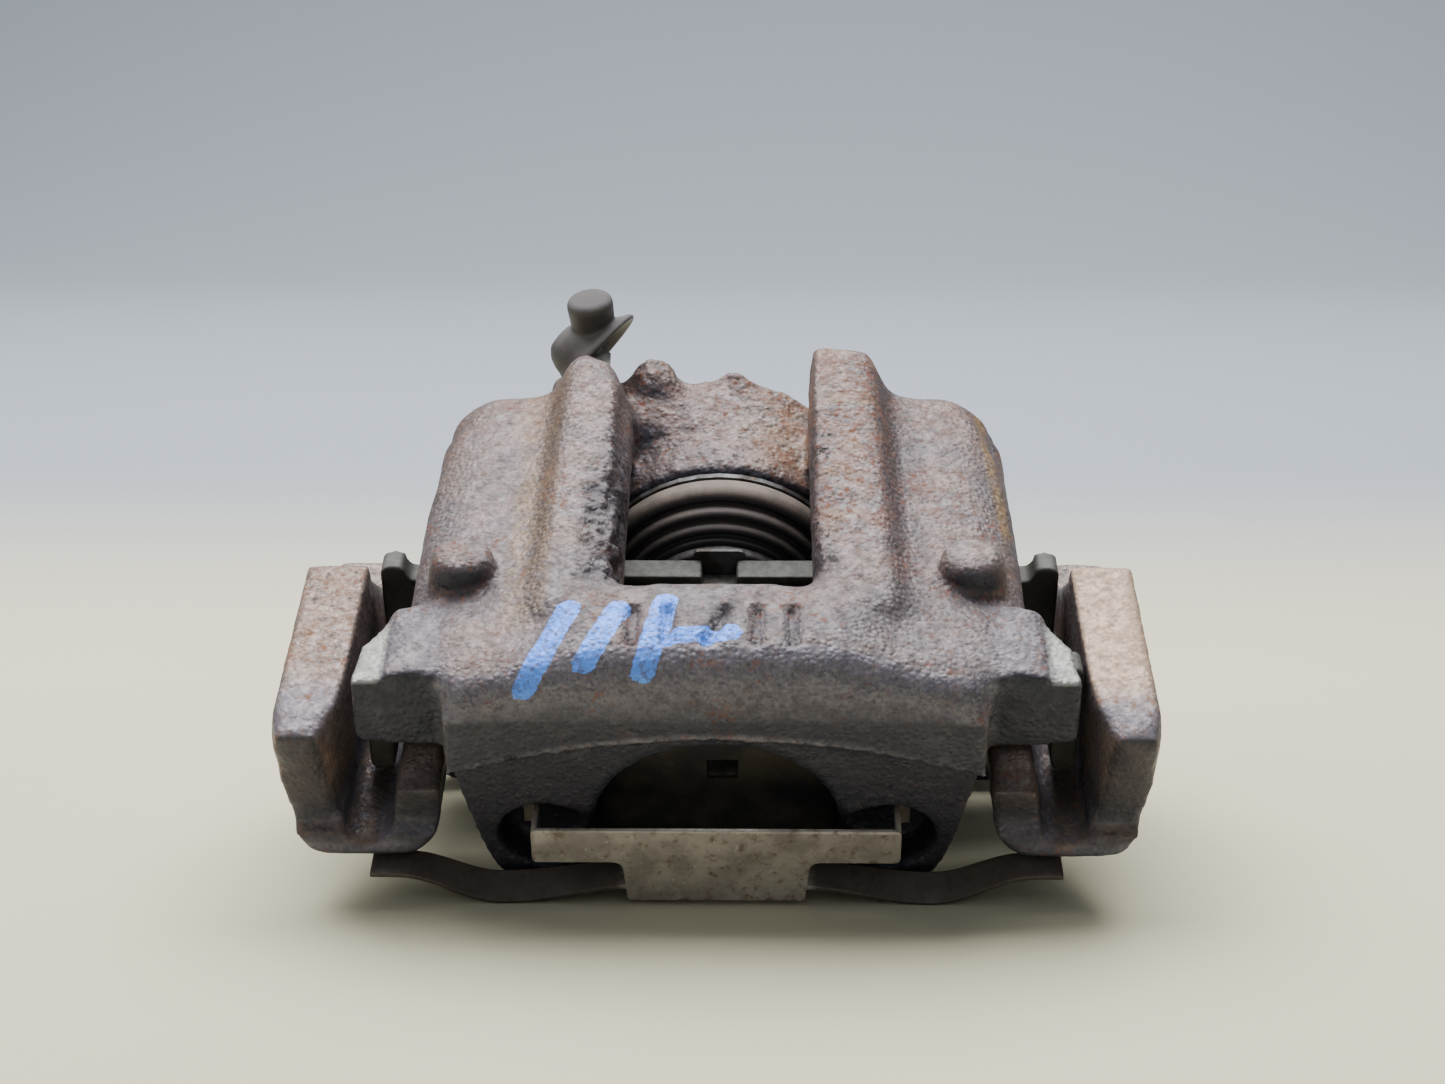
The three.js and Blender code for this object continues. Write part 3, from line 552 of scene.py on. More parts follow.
def shim_coating():
    s = Shader("shim_coating", roughness=0.5, metallic=0.3)
    base = s.mix(s.step(s.noise(7, 4, 0.6, 1.0), 0.4, 0.6), (0.05, 0.05, 0.052), (0.1, 0.085, 0.07))
    s.colour(base)
    s.bump(s.noise(1.1, 3, 0.6, 2.0), 0.03)
    return s.material


def moulded_plastic():
    s = Shader("cap_plastic", roughness=0.5, specular=0.45)
    base = s.mix(s.step(s.noise(4, 4, 0.6, 1.0), 0.4, 0.65), (0.022, 0.022, 0.024), (0.07, 0.062, 0.054))
    s.colour(base)
    s.drive("Roughness", s.step(s.noise(3, 3, 0.6, 2.0), 0.3, 0.7, 0.4, 0.7))
    s.bump(s.noise(0.6, 3, 0.6, 3.0), 0.03)
    return s.material


# ---- castings -----------------------------------------------------------------------------------


def distance_to_stroke(a, b, start, end):
    """Distance of each point (a, b) of a flat layout from the straight stroke between start and end."""
    sa, sb = start
    da, db = end[0] - sa, end[1] - sb
    t = np.clip(((a - sa) * da + (b - sb) * db) / (da * da + db * db), 0, 1)
    return np.hypot(a - sa - t * da, b - sb - t * db)


def ridge_height(x):
    """Height of the parting line across the front of the fist."""
    return 22.4 - 8.4 * (x / 46) ** 2


# Both lists give each stroke's ends as (X, unrolled).
CAST_BARS = [
    ((-14, 8), (-14, 17)),
    ((-8, 8), (-8, 17)),
    ((-1.5, 8), (1.8, 17)),
    ((7, 8), (7, 17)),
    ((13, 8), (13, 17)),
]
MARKER_STROKES = [
    ((-25, 17), (-32, -4)),
    ((-16.6, 17), (-22, 2)),
    ((-8.6, 19), (-12, 0)),
    ((-7, 9.5), (2.4, 10.5)),
]


def unrolled(y, z):
    """Distance over the bridge's top and down its front, as if that corner were laid flat."""
    return y + z - BRIDGE_TOP_Z


def nearest_stroke(strokes, a, b):
    return np.min([distance_to_stroke(a, b, start, end) for start, end in strokes], axis=0)


def shoulder_boss_reach(points):
    """Distance from the middle of the nearer shoulder boss, seen from above."""
    return np.hypot(np.abs(points[:, 0]) - SHOULDER_BOSS[0], points[:, 1] - SHOULDER_BOSS[1])


def housing_zones(points):
    """Weights of the housing's machined faces, ears and fist, and the distance from the piston axis."""
    x, y, z = points.T
    across = np.abs(x)
    axis_reach = np.hypot(x, z)
    pin_bores = band(np.hypot(across - PIN_X, z - PIN_Z), 0, 9.2, 0.5) * ramp(y, 78, 79)
    cylinder = ramp(axis_reach, 25.4, 25) * ramp(y, 72, 73.5) * ramp(y, 105, 104)
    pad_seat = band(y, FIST_INNER_Y - 0.6, FIST_INNER_Y + 0.6, 0.5) * ramp(z, 25, 23)
    return SimpleNamespace(
        machined=np.maximum.reduce([pin_bores, cylinder, pad_seat]),
        ear=ramp(across, 46, 48) * ramp(y, 27, 25) * ramp(z, 35, 34),
        fist=ramp(y, 20, 18) * ramp(z, 25, 22),
        axis_reach=axis_reach,
    )


def rounded_housing(points, edges, zones):
    """Points of the housing with cast corners, softest on the roll of the bridge and in its window."""
    x, y, z = points.T
    across = np.abs(x)
    sharp = np.clip(np.maximum(zones.ear * 0.85, zones.fist * 0.75) + zones.machined, 0, 0.95)
    boss = ramp(shoulder_boss_reach(points), 9.5, 8) * ramp(z, 31, 32)
    roll = ramp(y, 15, 9) * ramp(z, 25.5, 28) * (1 - zones.ear)
    rib_sides = band(across, 23, 40, 3) * ramp(z, 30, 32) * (1 - boss) * (1 - 0.5 * zones.ear)
    lobes = band(x, -24, 4, 2) * ramp(y, 82, 87) * ramp(z, 17, 22) * ramp(y, 104, 101)
    window_corner = ramp(np.hypot(across - 16, y - 28), 7, 3) * ramp(z, 24, 28)
    points = smoothed(points, edges, 0.6 * (1 - sharp) * (1 - 0.7 * boss), 12)
    points = smoothed(points, edges, 0.6 * np.maximum(roll, rib_sides), 26)
    points = smoothed(points, edges, 0.85 * np.maximum.reduce([roll, lobes, window_corner]), 70)
    return smoothed(points, edges, np.full(len(points), 0.3), 2)


def housing_marks(points):
    """Weights of the marks on the cast skin: crust, rough barrel, bars, eaten rib edge, parting line."""
    x, y, z = points.T
    across = np.abs(x)
    window_edge = ramp(across, 24, 19) * ramp(across, 15.5, 17.5)
    bars = ramp(nearest_stroke(CAST_BARS, x, unrolled(y, z)), 1.5, 0.5)
    return SimpleNamespace(
        crust=window_edge * ramp(y, 22, 30) * ramp(y, 78, 62) * ramp(z, 25, 29),
        barrel=ramp(across, 18, 16.4) * ramp(y, 71, 74) * ramp(z, 12, 18),
        bars=bars * ramp(z, 24, 27) * ramp(y, 26, 24),
        left_edge=band(x, -23, -17, 2) * ramp(z, 27, 31) * band(y, 27, 52, 6),
        parting=ramp(np.abs(z - ridge_height(x)), 0.8, 0.1) * ramp(y, 3, 2) * ramp(across, 47, 45),
        boss_reach=shoulder_boss_reach(points),
    )


def housing_relief(points, zones, marks):
    """How far the skin stands proud of the smooth shape, in millimetres."""
    _, y, z = points.T
    relief = 0.14 * lumps(points, 7, 1) + 0.10 * lumps(points, 2.8, 2)
    relief *= 1 - 0.6 * zones.fist
    relief += 0.12 * ramp(y, 16, 8) * (1 - zones.ear) * lumps(points, 1.7, 10)
    relief += 0.45 * np.maximum(marks.crust, marks.barrel * 0.8) * lumps(points, 2.2, 3, 3)
    relief += 0.5 * marks.barrel * lumps(points, 6, 4)
    relief -= 1.4 * marks.bars
    relief += 1.5 * ramp(marks.boss_reach, 7.2, 3.4) * ramp(z, 29, 31)
    relief -= marks.left_edge * (0.9 + 0.9 * lumps(points, 2.6, 9, 2))
    relief += 0.5 * marks.parting * (1 + lumps(points, 1.8, 5))
    return relief * (1 - zones.machined)


def housing_facing(points, normals):
    """Weights of what faces up, to the front and down, and of the brow between the top and the front."""
    ahead, up = normals[:, 1], normals[:, 2]
    return SimpleNamespace(
        top=ramp(up, 0.2, 0.75),
        front=ramp(ahead, -0.35, -0.8),
        underside=ramp(up, -0.1, -0.6),
        brow=ramp(ahead, -0.15, -0.5) * ramp(up, 0.0, 0.3) * ramp(points[:, 1], 20, 16),
    )


def paint_housing_rust(mesh, points, facing, boss_shadow):
    """Rust and ochre: the right rib, the wall behind the window, the shoulders and the ribs' feet."""
    x, y, z = points.T
    across = np.abs(x)
    rib_rust = ramp(x, 16, 20) * ramp(x, 34, 28) * ramp(y, 28, 44) * ramp(z, 30, 34) * 0.55
    wall_rust = ramp(x, 2, 12) * ramp(across, 18, 17) * ramp(y, 74, 78) * ramp(z, 18, 24)
    shoulder_rust = ramp(lumps(points, 16, 6), 0.15, 0.5) * ramp(x, -60, 20) * 0.35 * facing.top
    back_rust = 0.3 * ramp(y, 60, 90) * facing.top
    rust = [1.3 * rib_rust, wall_rust, shoulder_rust, 0.35 * boss_shadow, back_rust]
    set_mask(mesh, "rust", np.maximum.reduce(rust))

    left_foot = band(-x, 30.5, 36, 2.5) * ramp(y, 12, 22)
    edge_line = ramp(np.abs(x - 55.5 + 0.06 * y), 1.6, 0.6) * ramp(y, 44, 52) * facing.top
    rib_ochre = rib_rust * ramp(lumps(points, 5, 8), 0.1, 0.4)
    ochre = [0.35 * left_foot, 0.8 * edge_line, 0.5 * rib_ochre, 0.3 * wall_rust]
    set_mask(mesh, "ochre", np.maximum.reduce(ochre))


def paint_housing_shade(mesh, points, facing, zones, marks, boss_shadow):
    """Painted shade, partly soot: between the ribs, in the bars, on fronts, under the brow and in the
    openings.
    """
    x, y, z = points.T
    across = np.abs(x)
    # painted shade: darker between the ribs, at the ribs' feet, beside the boss and in the bars and eaten
    # edge
    bridge = band(across, 0, 26, 8) * band(y, 12, 30, 6) * facing.top
    right_foot = band(x, 31, 36, 2.5) * ramp(y, 12, 22)
    left_foot = band(-x, 30.5, 36, 2.5) * ramp(y, 12, 22)
    hollow_shade = [0.45 * bridge, 0.55 * right_foot, 0.35 * left_foot, boss_shadow, marks.bars,
              0.9 * marks.left_edge, 0.6 * marks.crust]
    set_mask(mesh, "hollow_shade", np.maximum.reduce(hollow_shade))

    # painted shade on front and lower faces, on the fist and inside the bore, spring holes and arch; partly
    # soot
    off_parting = 1 - marks.parting
    front = 0.85 * facing.front * off_parting * (1 - 0.75 * facing.brow)
    fist = 0.6 * zones.fist * off_parting * (1 - facing.brow)
    bore = ramp(zones.axis_reach, 24, 23) * ramp(y, 75, 76)
    spring_holes = ramp(np.hypot(across - 30, z + 4.5), 9.4, 8.6) * ramp(y, 2.2, 4) * ramp(y, 16, 15)
    arch = ramp(zones.axis_reach, 23, 21.8) * ramp(y, 19, 18)
    soot_and_shade = [front, 0.8 * facing.underside, fist, bore * 0.8, spring_holes, arch, zones.ear * facing.front]
    set_mask(mesh, "soot_and_shade", np.maximum.reduce(soot_and_shade))


def paint_housing_skin(mesh, points, facing, zones, marks):
    """Pits, bluish tone, and pale flecks as painted highlights on the tops, rib tops, parting line and brow.
    """
    rib_top = band(np.abs(points[:, 0]), 18, 29, 1.5) * ramp(points[:, 2], 35, 39) * facing.top
    # painted highlights: pale flecks on upward faces, rib tops, the parting line and the brow
    set_mask(mesh, "pale", 0.15 * facing.top + 0.3 * rib_top + 0.5 * marks.parting + 0.2 * facing.brow)
    pitted = [marks.crust, 0.6 * marks.barrel, 0.3 * facing.top, marks.left_edge]
    set_mask(mesh, "pitted", np.maximum.reduce(pitted))
    # bluish tone on the fronts and ears, with a painted highlight on the brow
    set_mask(mesh, "blue_tone_and_highlight", np.maximum.reduce([0.75 * facing.brow, 0.8 * facing.front, 0.4 * zones.ear]))


def paint_ground_and_marker(mesh, points, normals, facing):
    """The strip ground bare on each ear, and the strokes of blue marker over the front corner."""
    x, y, z = points.T
    strip = ramp(np.abs(x), 56.2, 56.7) * band(z, 28.7, 30.2, 0.3) * ramp(y, 22.5, 22)
    set_mask(mesh, "ground", strip * ramp(normals[:, 2], 0.5, 0.8))
    strokes = ramp(nearest_stroke(MARKER_STROKES, x, unrolled(y, z)), 2.6, 1.6)
    marker = strokes * ramp(y, 24, 22) * ramp(z, 20, 24)
    set_mask(mesh, "marker", marker * (1 - 0.2 * facing.front))


def housing():
    mesh = fine_copy("caliper_housing", CASTING_VOXEL)
    points = local_points(mesh)
    zones = housing_zones(points)
    points = rounded_housing(points, edge_array(mesh), zones)
    set_local_points(mesh, points)
    normals = local_normals(mesh)
    marks = housing_marks(points)
    set_local_points(mesh, raised(points, normals, housing_relief(points, zones, marks)))

    facing = housing_facing(points, normals)
    beside_boss = band(marks.boss_reach, 5.2, 7.6, 1.8)
    boss_shadow = beside_boss * ramp(points[:, 1], 33, 28) * ramp(points[:, 2], 29, 31)
    paint_housing_rust(mesh, points, facing, boss_shadow)
    paint_housing_shade(mesh, points, facing, zones, marks, boss_shadow)
    paint_housing_skin(mesh, points, facing, zones, marks)
    paint_ground_and_marker(mesh, points, normals, facing)
    return mesh


def paint_carrier(mesh, points, normals, lip):
    """The carrier's masks: painted shade, partly soot, in front and low down; rust and tan on the legs;
    painted highlights on the tops; blue with a painted highlight on the legs' ends.
    """
    x, y, z = points.T
    across = np.abs(x)
    top = ramp(normals[:, 2], 0.2, 0.7)
    front = ramp(normals[:, 1], -0.4, -0.8)
    underside = ramp(normals[:, 2], 0, -0.6)
    leg = ramp(across, 60, 64) * ramp(z, 12, 19)
    foot = ramp(z, 6, 1) * ramp(y, 40, 30)
    pocket = ramp(across, 58, 59.5) * ramp(z, 6, 2) * ramp(normals[:, 2], 0.3, 0.7)
    set_mask(mesh, "rust", (1 - foot) * (0.45 * leg * top * ramp(y, 14, 22) + 0.3 * pocket))
    set_mask(mesh, "ochre", 0.3 * pocket + 0.12 * leg * top)
    # painted shade in the pocket
    set_mask(mesh, "hollow_shade", 0.8 * pocket)
    # bluish tone on the legs' near tops and feet, with a painted highlight on the lips
    set_mask(mesh, "blue_tone_and_highlight", np.maximum.reduce([0.9 * leg * top * ramp(y, 20, 12), lip, 0.8 * foot]))
    # painted highlights: pale flecks on the upward faces
    set_mask(mesh, "pale", top * (0.25 + 0.3 * ramp(y, 12, 20)))
    set_mask(mesh, "tan", 0.7 * top * leg * ramp(x, 0, 10) * ramp(y, 8, 18))
    set_mask(mesh, "pitted", 0.6 * top * ramp(y, 10, 30))

    # painted shade, partly soot, on front, low, lower and inner faces, kept off the lips
    off_lip = 1 - 0.8 * lip
    soot_and_shade_front = 0.8 * front * (1 - pocket) * off_lip
    soot_and_shade_low = 0.6 * ramp(z, 12, 4) * ramp(y, 32, 30) * (1 - 0.4 * top) * off_lip
    inward = ramp(np.abs(normals[:, 0]), 0.5, 0.8)
    inner_face = inward * ramp(across, 66.5, 65.5) * ramp(across, 62.5, 63.5)
    soot_and_shade = [soot_and_shade_front, soot_and_shade_low, 0.8 * underside, 0.45 * inner_face]
    set_mask(mesh, "soot_and_shade", np.maximum.reduce(soot_and_shade))


def carrier():
    mesh = fine_copy("carrier", CASTING_VOXEL)
    start = local_points(mesh)
    x, y, z = start.T
    machined = band(y, 74.8, 75.6, 0.2)
    lip = ramp(z, -1, -4) * ramp(y, 14, 9)
    near_corner = ramp(y, 10, 4) * ramp(np.abs(x), 56, 60) * ramp(z, 8, 14)
    edges = edge_array(mesh)
    points = smoothed(start, edges, 0.5 * (1 - machined), 5)
    points = smoothed(points, edges, 0.7 * np.maximum(lip, near_corner), 40)
    set_local_points(mesh, points)
    normals = local_normals(mesh)
    relief = 0.12 * lumps(points, 6, 11) + 0.09 * lumps(points, 2.4, 12, 2)
    set_local_points(mesh, raised(points, normals, relief * (1 - machined)))
    paint_carrier(mesh, start, normals, lip)
    return mesh


# ---- pads ---------------------------------------------------------------------------------------


def backing_plate(node):
    mesh = fine_copy(node, 0.5)
    points = evenly_smoothed(mesh, 0.5, 2)
    set_local_points(mesh, points)
    normals = local_normals(mesh)
    set_local_points(mesh, raised(points, normals, 0.05 * lumps(points, 1.8, 21)))
    across = np.abs(points[:, 0])
    rim = ramp(np.abs(normals[:, 1]), 0.8, 0.3)
    inner_top = ramp(normals[:, 2], 0.5, 0.9) * ramp(across, 34, 30)
    tips = ramp(across, 58, 60) * ramp(points[:, 2], 15, 18)
    set_mask(mesh, "worn", np.maximum.reduce([0.35 * rim, 0.65 * inner_top, 0.5 * tips * rim]))
    return mesh


def lining(node):
    mesh = fine_copy(node, 0.6)
    points = evenly_smoothed(mesh, 0.5, 2)
    set_local_points(mesh, points)
    normals = local_normals(mesh)
    rubbed = ramp(np.abs(normals[:, 1]), 0.8, 0.95)
    relief = 0.12 * lumps(points, 1.6, 22, 2) * (1 - 0.85 * rubbed)
    set_local_points(mesh, raised(points, normals, relief))
    return mesh


# ---- turned pieces ------------------------------------------------------------------------------


def with_dust(mesh, values=None):
    """Marks how dusty each vertex is; without values the upper side is."""
    normals = local_normals(mesh)
    set_mask(mesh, "dusty", ramp(normals[:, 2], -0.2, 0.9) if values is None else values)
    return mesh


def piston():
    """Hollow cup with a groove for the boot near its face."""
    face, back = PISTON_FACE_Y, PISTON_FACE_Y + 38
    groove, hollow = PISTON_R - 1.6, 13
    profile = [
        (0, back - 8), (11.5, back - 8), (hollow, back - 10), (hollow, face), (PISTON_R - 0.8, face),
        (PISTON_R - 0.4, face + 0.6), (PISTON_R - 0.4, face + 2.2), (groove, face + 2.6),
        (groove, face + 4.6), (PISTON_R, face + 5), (PISTON_R, back - 1.2), (PISTON_R - 1.2, back),
        (0, back),
    ]
    return turned_y("piston_cup", softened(profile, 0.4), sides=128)


def bellows():
    """Dust boot: a wide fold at the cylinder mouth and three smaller ones down to the piston."""
    wide_fold = [
        (23.4, 76.4), (24.2, 76.2), (24.2, 73.6), (25.2, 72.9), (25.9, 71.4), (26.0, 69.2),
        (25.4, 67.9), (24.2, 67.5), (23.3, 68.0), (22.9, 68.9), (22.5, 68.9),
    ]
    small_folds = [
        (22.9, 67.2), (23.1, 66.0), (22.7, 65.1), (21.8, 65.0), (21.2, 65.6), (20.9, 66.5),
        (20.4, 66.3), (20.8, 64.6), (20.7, 63.7), (20.1, 63.2), (19.3, 63.4), (18.9, 63.9),
        (18.5, 63.9), (18.55, 62.7), (18.3, 62.3), (16.9, 62.4), (16.7, 62.9), (16.7, 63.8),
    ]
    inside = [
        (17.6, 64.3), (18.6, 65.0), (19.4, 64.7), (19.8, 64.9), (19.6, 67.2), (20.6, 67.6),
        (21.6, 66.7), (21.9, 67.0), (21.7, 69.6), (22.9, 70.0), (24.2, 69.0), (24.8, 69.6),
        (24.6, 71.2), (23.4, 72.6), (22.9, 74.6),
    ]
    profile = rounded_profile(wide_fold + small_folds + inside, 0.5, 2)
    mesh = turned_y("bellows", profile, sides=160)
    points = local_points(mesh)
    normals = local_normals(mesh)
    reach = np.hypot(points[:, 0], points[:, 2])
    outward = (normals[:, 0] * points[:, 0] + normals[:, 2] * points[:, 2]) / reach
    crowns = 0.95 * ramp(reach, 23.9, 25.2) + 0.5 * band(reach, 22.6, 23.3, 0.3)
    crowns += 0.42 * band(reach, 20.2, 21, 0.3)
    return with_dust(mesh, crowns * ramp(outward, 0.1, 0.7))


def guide_pin(side):
    """Pin with a thinner end in the carrier and a hexagon socket in its head."""
    start, shoulder, end = 64.6, 74.3, 105.0
    profile = [
        (0, start), (3.4, start), (4.2, start + 0.8), (4.2, shoulder), (5, shoulder), (5, end - 0.6),
        (4.4, end),
    ]
    socket = [(3.5, end, "hex"), (3.5, end - 7, "hex"), (0, end - 7.6)]
    outer = softened(profile, 0.3)[:-1]
    return turned_y(f"guide_pin_{side}", outer + socket, side * PIN_X, PIN_Z)


def guide_bush(side):
    """Rubber sleeve in the housing's boss, with a lip at each end."""
    inner, outer, lip_radius, lip = 5.3, 8, 9.4, 1.5
    front, back = BUSH_BOSS_Y
    profile = [
        (inner, front - lip), (lip_radius, front - lip), (lip_radius, front - 0.3), (outer, front - 0.3),
        (outer, back + 0.3), (lip_radius, back + 0.3), (lip_radius, back + lip), (inner, back + lip),
    ]
    mesh = turned_y(f"guide_bush_{side}", rounded_profile(profile, 0.4), side * PIN_X, PIN_Z)
    return with_dust(mesh)


def pin_cap(side):
    """Hollow plastic cap over the end of a guide pin, with a rim at its foot."""
    foot = BUSH_BOSS_Y[1] + 1.8
    profile = [
        (0, foot + 8.8), (6.8, foot + 8.4, 0.9), (7.8, foot + 7.2, 0.8), (8, foot + 2.2),
        (9.4, foot + 1.6), (9.4, foot), (6.6, foot), (6.6, foot + 6.4), (6, foot + 7.2),
        (0, foot + 7.4),
    ]
    return turned_y(f"pin_cap_{side}", softened(profile, 0.4), side * PIN_X, PIN_Z)


def bleed_screw():
    """Bleed screw: pointed shank, hexagon, and a nipple with a drilling down its middle."""
    shank = [(0, -12), (1.5, -11.8), (3.5, -9.6), (3.5, 0.4), (3.9, 0.8)]
    hexagon = [(4.0, 0.9, "hex"), (4.0, 5.8, "hex")]
    nipple = [(3.7, 6.2), (2.7, 6.5), (2.5, 8.4), (3.1, 9.3), (3.1, 10.6), (2.6, 11.5), (1.4, 11.6)]
    drilling = [(1, 11.4), (1, -6), (0, -6)]
    return turned("bleeder_nipple", shank + hexagon + nipple + drilling, BLEEDER_FOOT, BLEEDER_AXIS)


def bleeder_cap():
    """Rubber cap, pushed on askew: a hollow dome that opens down to one side, with a round grip on top."""
    foot, axis = Vector(BLEEDER_FOOT), BLEEDER_AXIS
    dome_axis = Vector((-0.80, 0.42, 0.58)).normalized()
    low_side = Vector((-0.667, -0.438, -0.603))
    sag = 0.35  # how far the dome leans to its low side for each millimetre of height
    grip_axis = Vector((-0.10, -0.02, 0.99)).normalized()
    grip_foot = foot + axis * 4.6 + Vector((2.2, 0, 0))
    mouth = grip_foot + Vector((0.1, 0, 1.4))
    dome = [
        (0, 8.2), (3.0, 7.8), (5.2, 6.2), (6.6, 4.4), (7.6, 2.6), (8.8, 1.2), (9.9, 0.4), (10.1, -0.5),
        (9.3, -0.9), (7.4, 0.4), (6.0, 2.0), (5.0, 3.8), (3.4, 5.6), (1.6, 6.5), (0, 6.7),
    ]
    grip = [(0, 6.2), (4.2, 6.2), (4.6, 12.4), (4.4, 13.4), (3.6, 13.9), (0, 14.1)]
    dome_mesh = turned("dome", softened(dome, 0.6), mouth, dome_axis, 72)
    points = local_points(dome_mesh)
    rise = np.maximum((points - np.array(mouth)) @ np.array(dome_axis), 0)
    set_local_points(dome_mesh, points + np.outer(sag * rise, low_side))
    parts = [dome_mesh, turned("grip", softened(grip, 0.6), grip_foot, grip_axis, 72)]
    mesh = remeshed(joined("bleeder_cap", parts), 0.3)
    set_local_points(mesh, evenly_smoothed(mesh, 0.5, 4))
    return mesh


# ---- retaining spring ---------------------------------------------------------------------------

LEAF_SHEET = 1.0
LEAF_Y = -1.2


def arm_height(x):
    """Height of the spring's arm at a distance x from its middle: down to a dip and up again."""
    root, dip, end = (15, -10.6), (38, -13.5), (55, -8.1)
    start, stop = (root, dip) if x < dip[0] else (dip, end)
    along = min(max((x - start[0]) / (stop[0] - start[0]), 0), 1)
    return start[1] + (stop[1] - start[1]) * (0.5 - 0.5 * math.cos(math.pi * along))


def spring_plate():
    """The T of the leaf spring, symmetrical about its middle."""
    right = [(32, 2.6, 1.1), (32, -4.8, 1.1), (16.4, -4.8, 1.8), (15.6, -13.8, 0.8)]
    corners = right + [(-x, z, r) for x, z, r in reversed(right)]
    return slab("plate", rounded(corners, 1, 5), LEAF_Y, LEAF_Y + LEAF_SHEET, 0.28)


def spring_strip(name, path, width, thickness):
    """Sheet strip swept along (centre, width direction, thickness direction) frames."""
    a, b = width / 2, thickness / 2
    section = rounded([(-a, -b), (a, -b), (a, b), (-a, b)], thickness * 0.3, 3)
    maker = bmesh.new()
    rings = []
    for centre, wide, thick in path:
        rings.append([maker.verts.new(place(*(centre + wide * p.x + thick * p.y))) for p in section])
    bridge_rings(maker, rings, closed=False)
    maker.faces.new(rings[0])
    maker.faces.new(rings[-1])
    return finished_mesh(maker, name)


def spring_arm(side):
    """Arm of the leaf spring: flat at both ends and leaning towards the front between them."""
    steps, inner_end, outer_end = 60, 11, 60.5
    most_lean = math.radians(26)
    path = []
    for i in range(steps + 1):
        x = inner_end + (outer_end - inner_end) * i / steps
        lean = most_lean * math.sin(math.pi * i / steps) ** 2
        slope = arm_height(x + 0.5) - arm_height(x - 0.5)
        wide = Vector((0, math.cos(lean), math.sin(lean)))
        across = Vector((side, 0, slope)).normalized()
        thick = across.cross(wide).normalized()
        centre = Vector((side * x, 1.9, arm_height(x)))
        path.append((centre, wide, thick))
    return spring_strip("arm", path, 6.0, LEAF_SHEET)


def spring_hook(side):
    """End of the T bar, bent back into the hole of the fist and then outwards."""
    wide = Vector((0, 0, 1))
    bends = [(31.5, -0.6), (31.5, 6.5), (31.8, 8.4), (32.6, 9.3), (34.0, 9.4)]
    path = []
    for before, here, after in zip(bends[:1] + bends, bends, bends[1:] + bends[-1:]):
        along = Vector((side * (after[0] - before[0]), after[1] - before[1], 0)).normalized()
        path.append((Vector((side * here[0], here[1], -1.3)), wide, along.cross(wide)))
    return spring_strip("hook", path, 6.2, LEAF_SHEET)


def joined(name, meshes):
    """Several meshes as one."""
    maker = bmesh.new()
    for mesh in meshes:
        maker.from_mesh(mesh)
    whole = bpy.data.meshes.new(name)
    maker.to_mesh(whole)
    maker.free()
    smooth_shading(whole)
    return whole


def retaining_spring():
    parts = [spring_plate()]
    for side in (-1, 1):
        parts += [spring_hook(side), spring_arm(side)]
    mesh = joined("retaining_leaf", parts)
    points = local_points(mesh)
    x, y, z = points.T
    # painted shade on the arms, on the hooks in the fist's holes and on the bar, darker towards its top
    arms = ramp(np.abs(x), 15, 18) * ramp(z, -5, -6)
    hooks = ramp(y, 0.5, 3) * ramp(z, -6, -5)
    bar = ramp(z, -9, 1) * ramp(z, 2.5, 1.8)
    set_mask(mesh, "soot_and_shade", np.maximum.reduce([0.9 * arms, 0.6 * hooks, 0.45 * bar]))
    return mesh


# ---- the object ---------------------------------------------------------------------------------

housing_finish = housing_iron()
carrier_finish = carrier_iron()
plate_paint = painted_plate()
lining_mix = friction_mix()
boot_rubber = rubber("boot_rubber", (0.034, 0.033, 0.036), (0.25, 0.20, 0.17))
cap_rubber = rubber("cap_rubber", (0.028, 0.025, 0.027), (0.125, 0.113, 0.116))
dark_rubber = rubber("dark_rubber", (0.014, 0.014, 0.015), (0.07, 0.06, 0.052))
leaf_steel = spring_sheet()
steel = plated_steel()
grimy = grimy_steel()
shim_finish = shim_coating()
plastic = moulded_plastic()

add_piece("housing_casting", housing(), "caliper", "housing_iron", housing_finish, "caliper_housing")
add_piece("carrier_casting", carrier(), "carrier", "carrier_iron", carrier_finish, "carrier")
for side, body in (("outer", "caliper"), ("inner", "piston")):
    plate_node = f"{side}_pad_backing_plate"
    block_node = f"{side}_pad_lining"
    add_piece(f"{side}_plate", backing_plate(plate_node), body, "plate_paint", plate_paint, plate_node)
    add_piece(f"{side}_friction_block", lining(block_node), body, "friction_mix", lining_mix, block_node)
add_piece("piston_cup", piston(), "piston", "plated_steel", grimy, "piston")
boot = add_piece("bellows", bellows(), None, "rubber", boot_rubber, "dust_boot")
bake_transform(boot)
add_piece("retaining_leaf", retaining_spring(), "caliper", "spring_steel", leaf_steel, "retaining_spring")
add_piece("bleeder_nipple", bleed_screw(), "bleed_screw", "plated_steel", steel, "bleed_screw")
add_piece("bleeder_cap", with_dust(bleeder_cap()), "bleed_screw_cap", "rubber", cap_rubber, "bleed_screw_cap")
for word, side in (("left", -1), ("right", 1)):
    add_piece(f"pin_{word}", guide_pin(side), "carrier", "plated_steel", steel, f"guide_pin_{word}")
    add_piece(f"bush_{word}", guide_bush(side), "caliper", "rubber", dark_rubber, f"guide_bush_{word}")
    add_piece(f"cap_{word}", pin_cap(side), "caliper", "cap_plastic", plastic, f"guide_pin_cap_{word}")

for node, material in (
    ("outer_pad_shim", shim_finish),
    ("inner_pad_spring_clip", grimy),
    ("boot_retaining_ring", grimy),
    ("piston_seal", dark_rubber),
):
    nodes[node].data.materials.clear()
    nodes[node].data.materials.append(material)


# ---- floor, light and camera --------------------------------------------------------------------


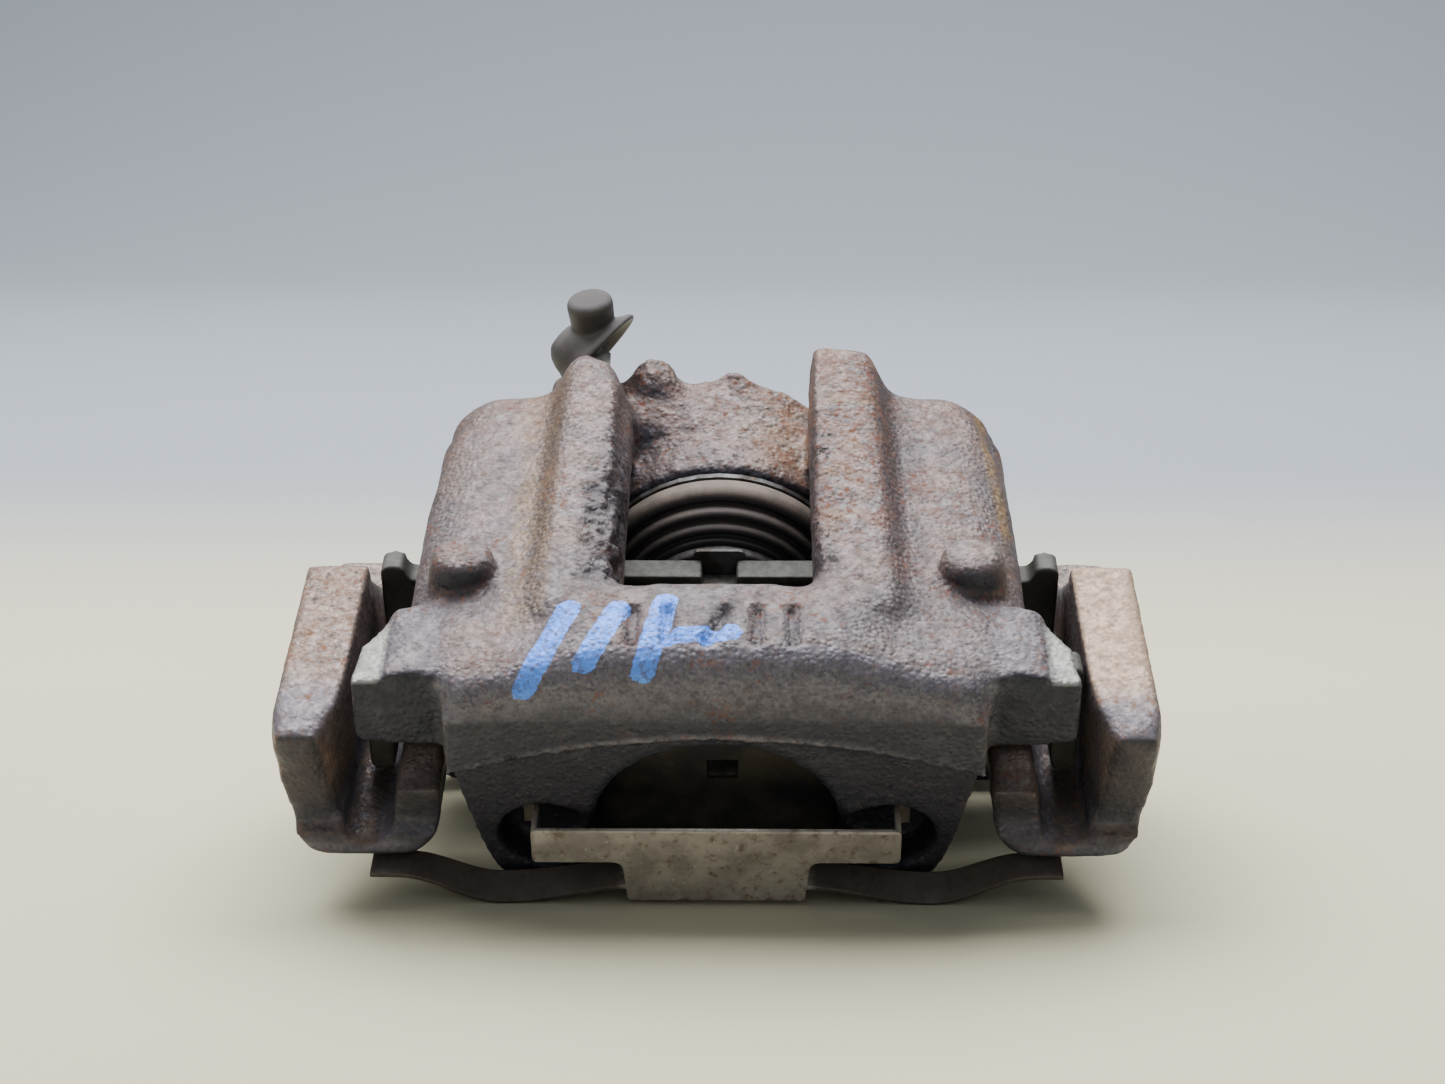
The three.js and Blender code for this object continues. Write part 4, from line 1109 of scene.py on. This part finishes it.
def floor_and_backdrop():
    """Floor that rises in one curve into a backdrop."""
    flat_end, radius = 1.0, 0.5
    bend = np.linspace(0, math.pi / 2, 13)[1:]
    profile = [(-1.5, 0.0), (flat_end, 0.0)]
    profile += [(flat_end + radius * math.sin(a), radius - radius * math.cos(a)) for a in bend]
    profile.append((flat_end + radius, 2.4))
    maker = bmesh.new()
    rows = [[maker.verts.new((x, y, z)) for x in (-3, 3)] for y, z in profile]
    for one, two in zip(rows, rows[1:]):
        maker.faces.new((one[0], one[1], two[1], two[0]))
    mesh = finished_mesh(maker, "studio_floor")
    floor = bpy.data.objects.new("studio_floor", mesh)
    bpy.context.scene.collection.objects.link(floor)
    s = Shader("studio_floor", roughness=0.9, specular=0.2)
    split = s.tree.nodes.new("ShaderNodeSeparateXYZ")
    s.tree.links.new(s.place, split.inputs["Vector"])
    near = s.mix(s.noise(60, 2, 0.5, 1.0), (0.635, 0.60, 0.43), (0.675, 0.64, 0.465))
    s.colour(s.mix(s.step(split.outputs["Y"], 0.1, 0.4), near, (0.315, 0.35, 0.40)))
    mesh.materials.append(s.material)


def area_light(name, spot, target, size, power):
    data = bpy.data.lights.new(name, "AREA")
    data.shape = "RECTANGLE"
    data.size, data.size_y = size
    data.energy = power
    light = bpy.data.objects.new(name, data)
    light.location = spot
    light.rotation_euler = (Vector(target) - Vector(spot)).to_track_quat("-Z", "Y").to_euler()
    bpy.context.scene.collection.objects.link(light)


def dim_surroundings():
    world = bpy.data.worlds.new("studio")
    world.use_nodes = True
    background = world.node_tree.nodes["Background"]
    background.inputs["Color"].default_value = (0.75, 0.8, 0.9, 1)
    background.inputs["Strength"].default_value = 0.2
    bpy.context.scene.world = world


def camera():
    data = bpy.data.cameras.new("camera")
    data.sensor_width = 36
    data.lens = 61.54
    data.clip_start = 0.01
    view = bpy.data.objects.new("camera", data)
    view.location = (0.0061, -0.4554, 0.1530)
    view.rotation_euler = (math.radians(78), 0, math.radians(0.7))
    bpy.context.scene.collection.objects.link(view)
    bpy.context.scene.camera = view


floor_and_backdrop()
area_light("overhead", (-0.08, 0.42, 1.05), (0, 0.05, 0), (1.5, 1.1), 44)
area_light("front_fill", (0.1, -1.2, 0.6), (0, 0, 0.03), (1.2, 0.8), 1.6)
area_light("left_fill", (-1.0, -0.2, 0.6), (0, 0, 0.03), (0.8, 0.8), 1.5)
dim_surroundings()
camera()
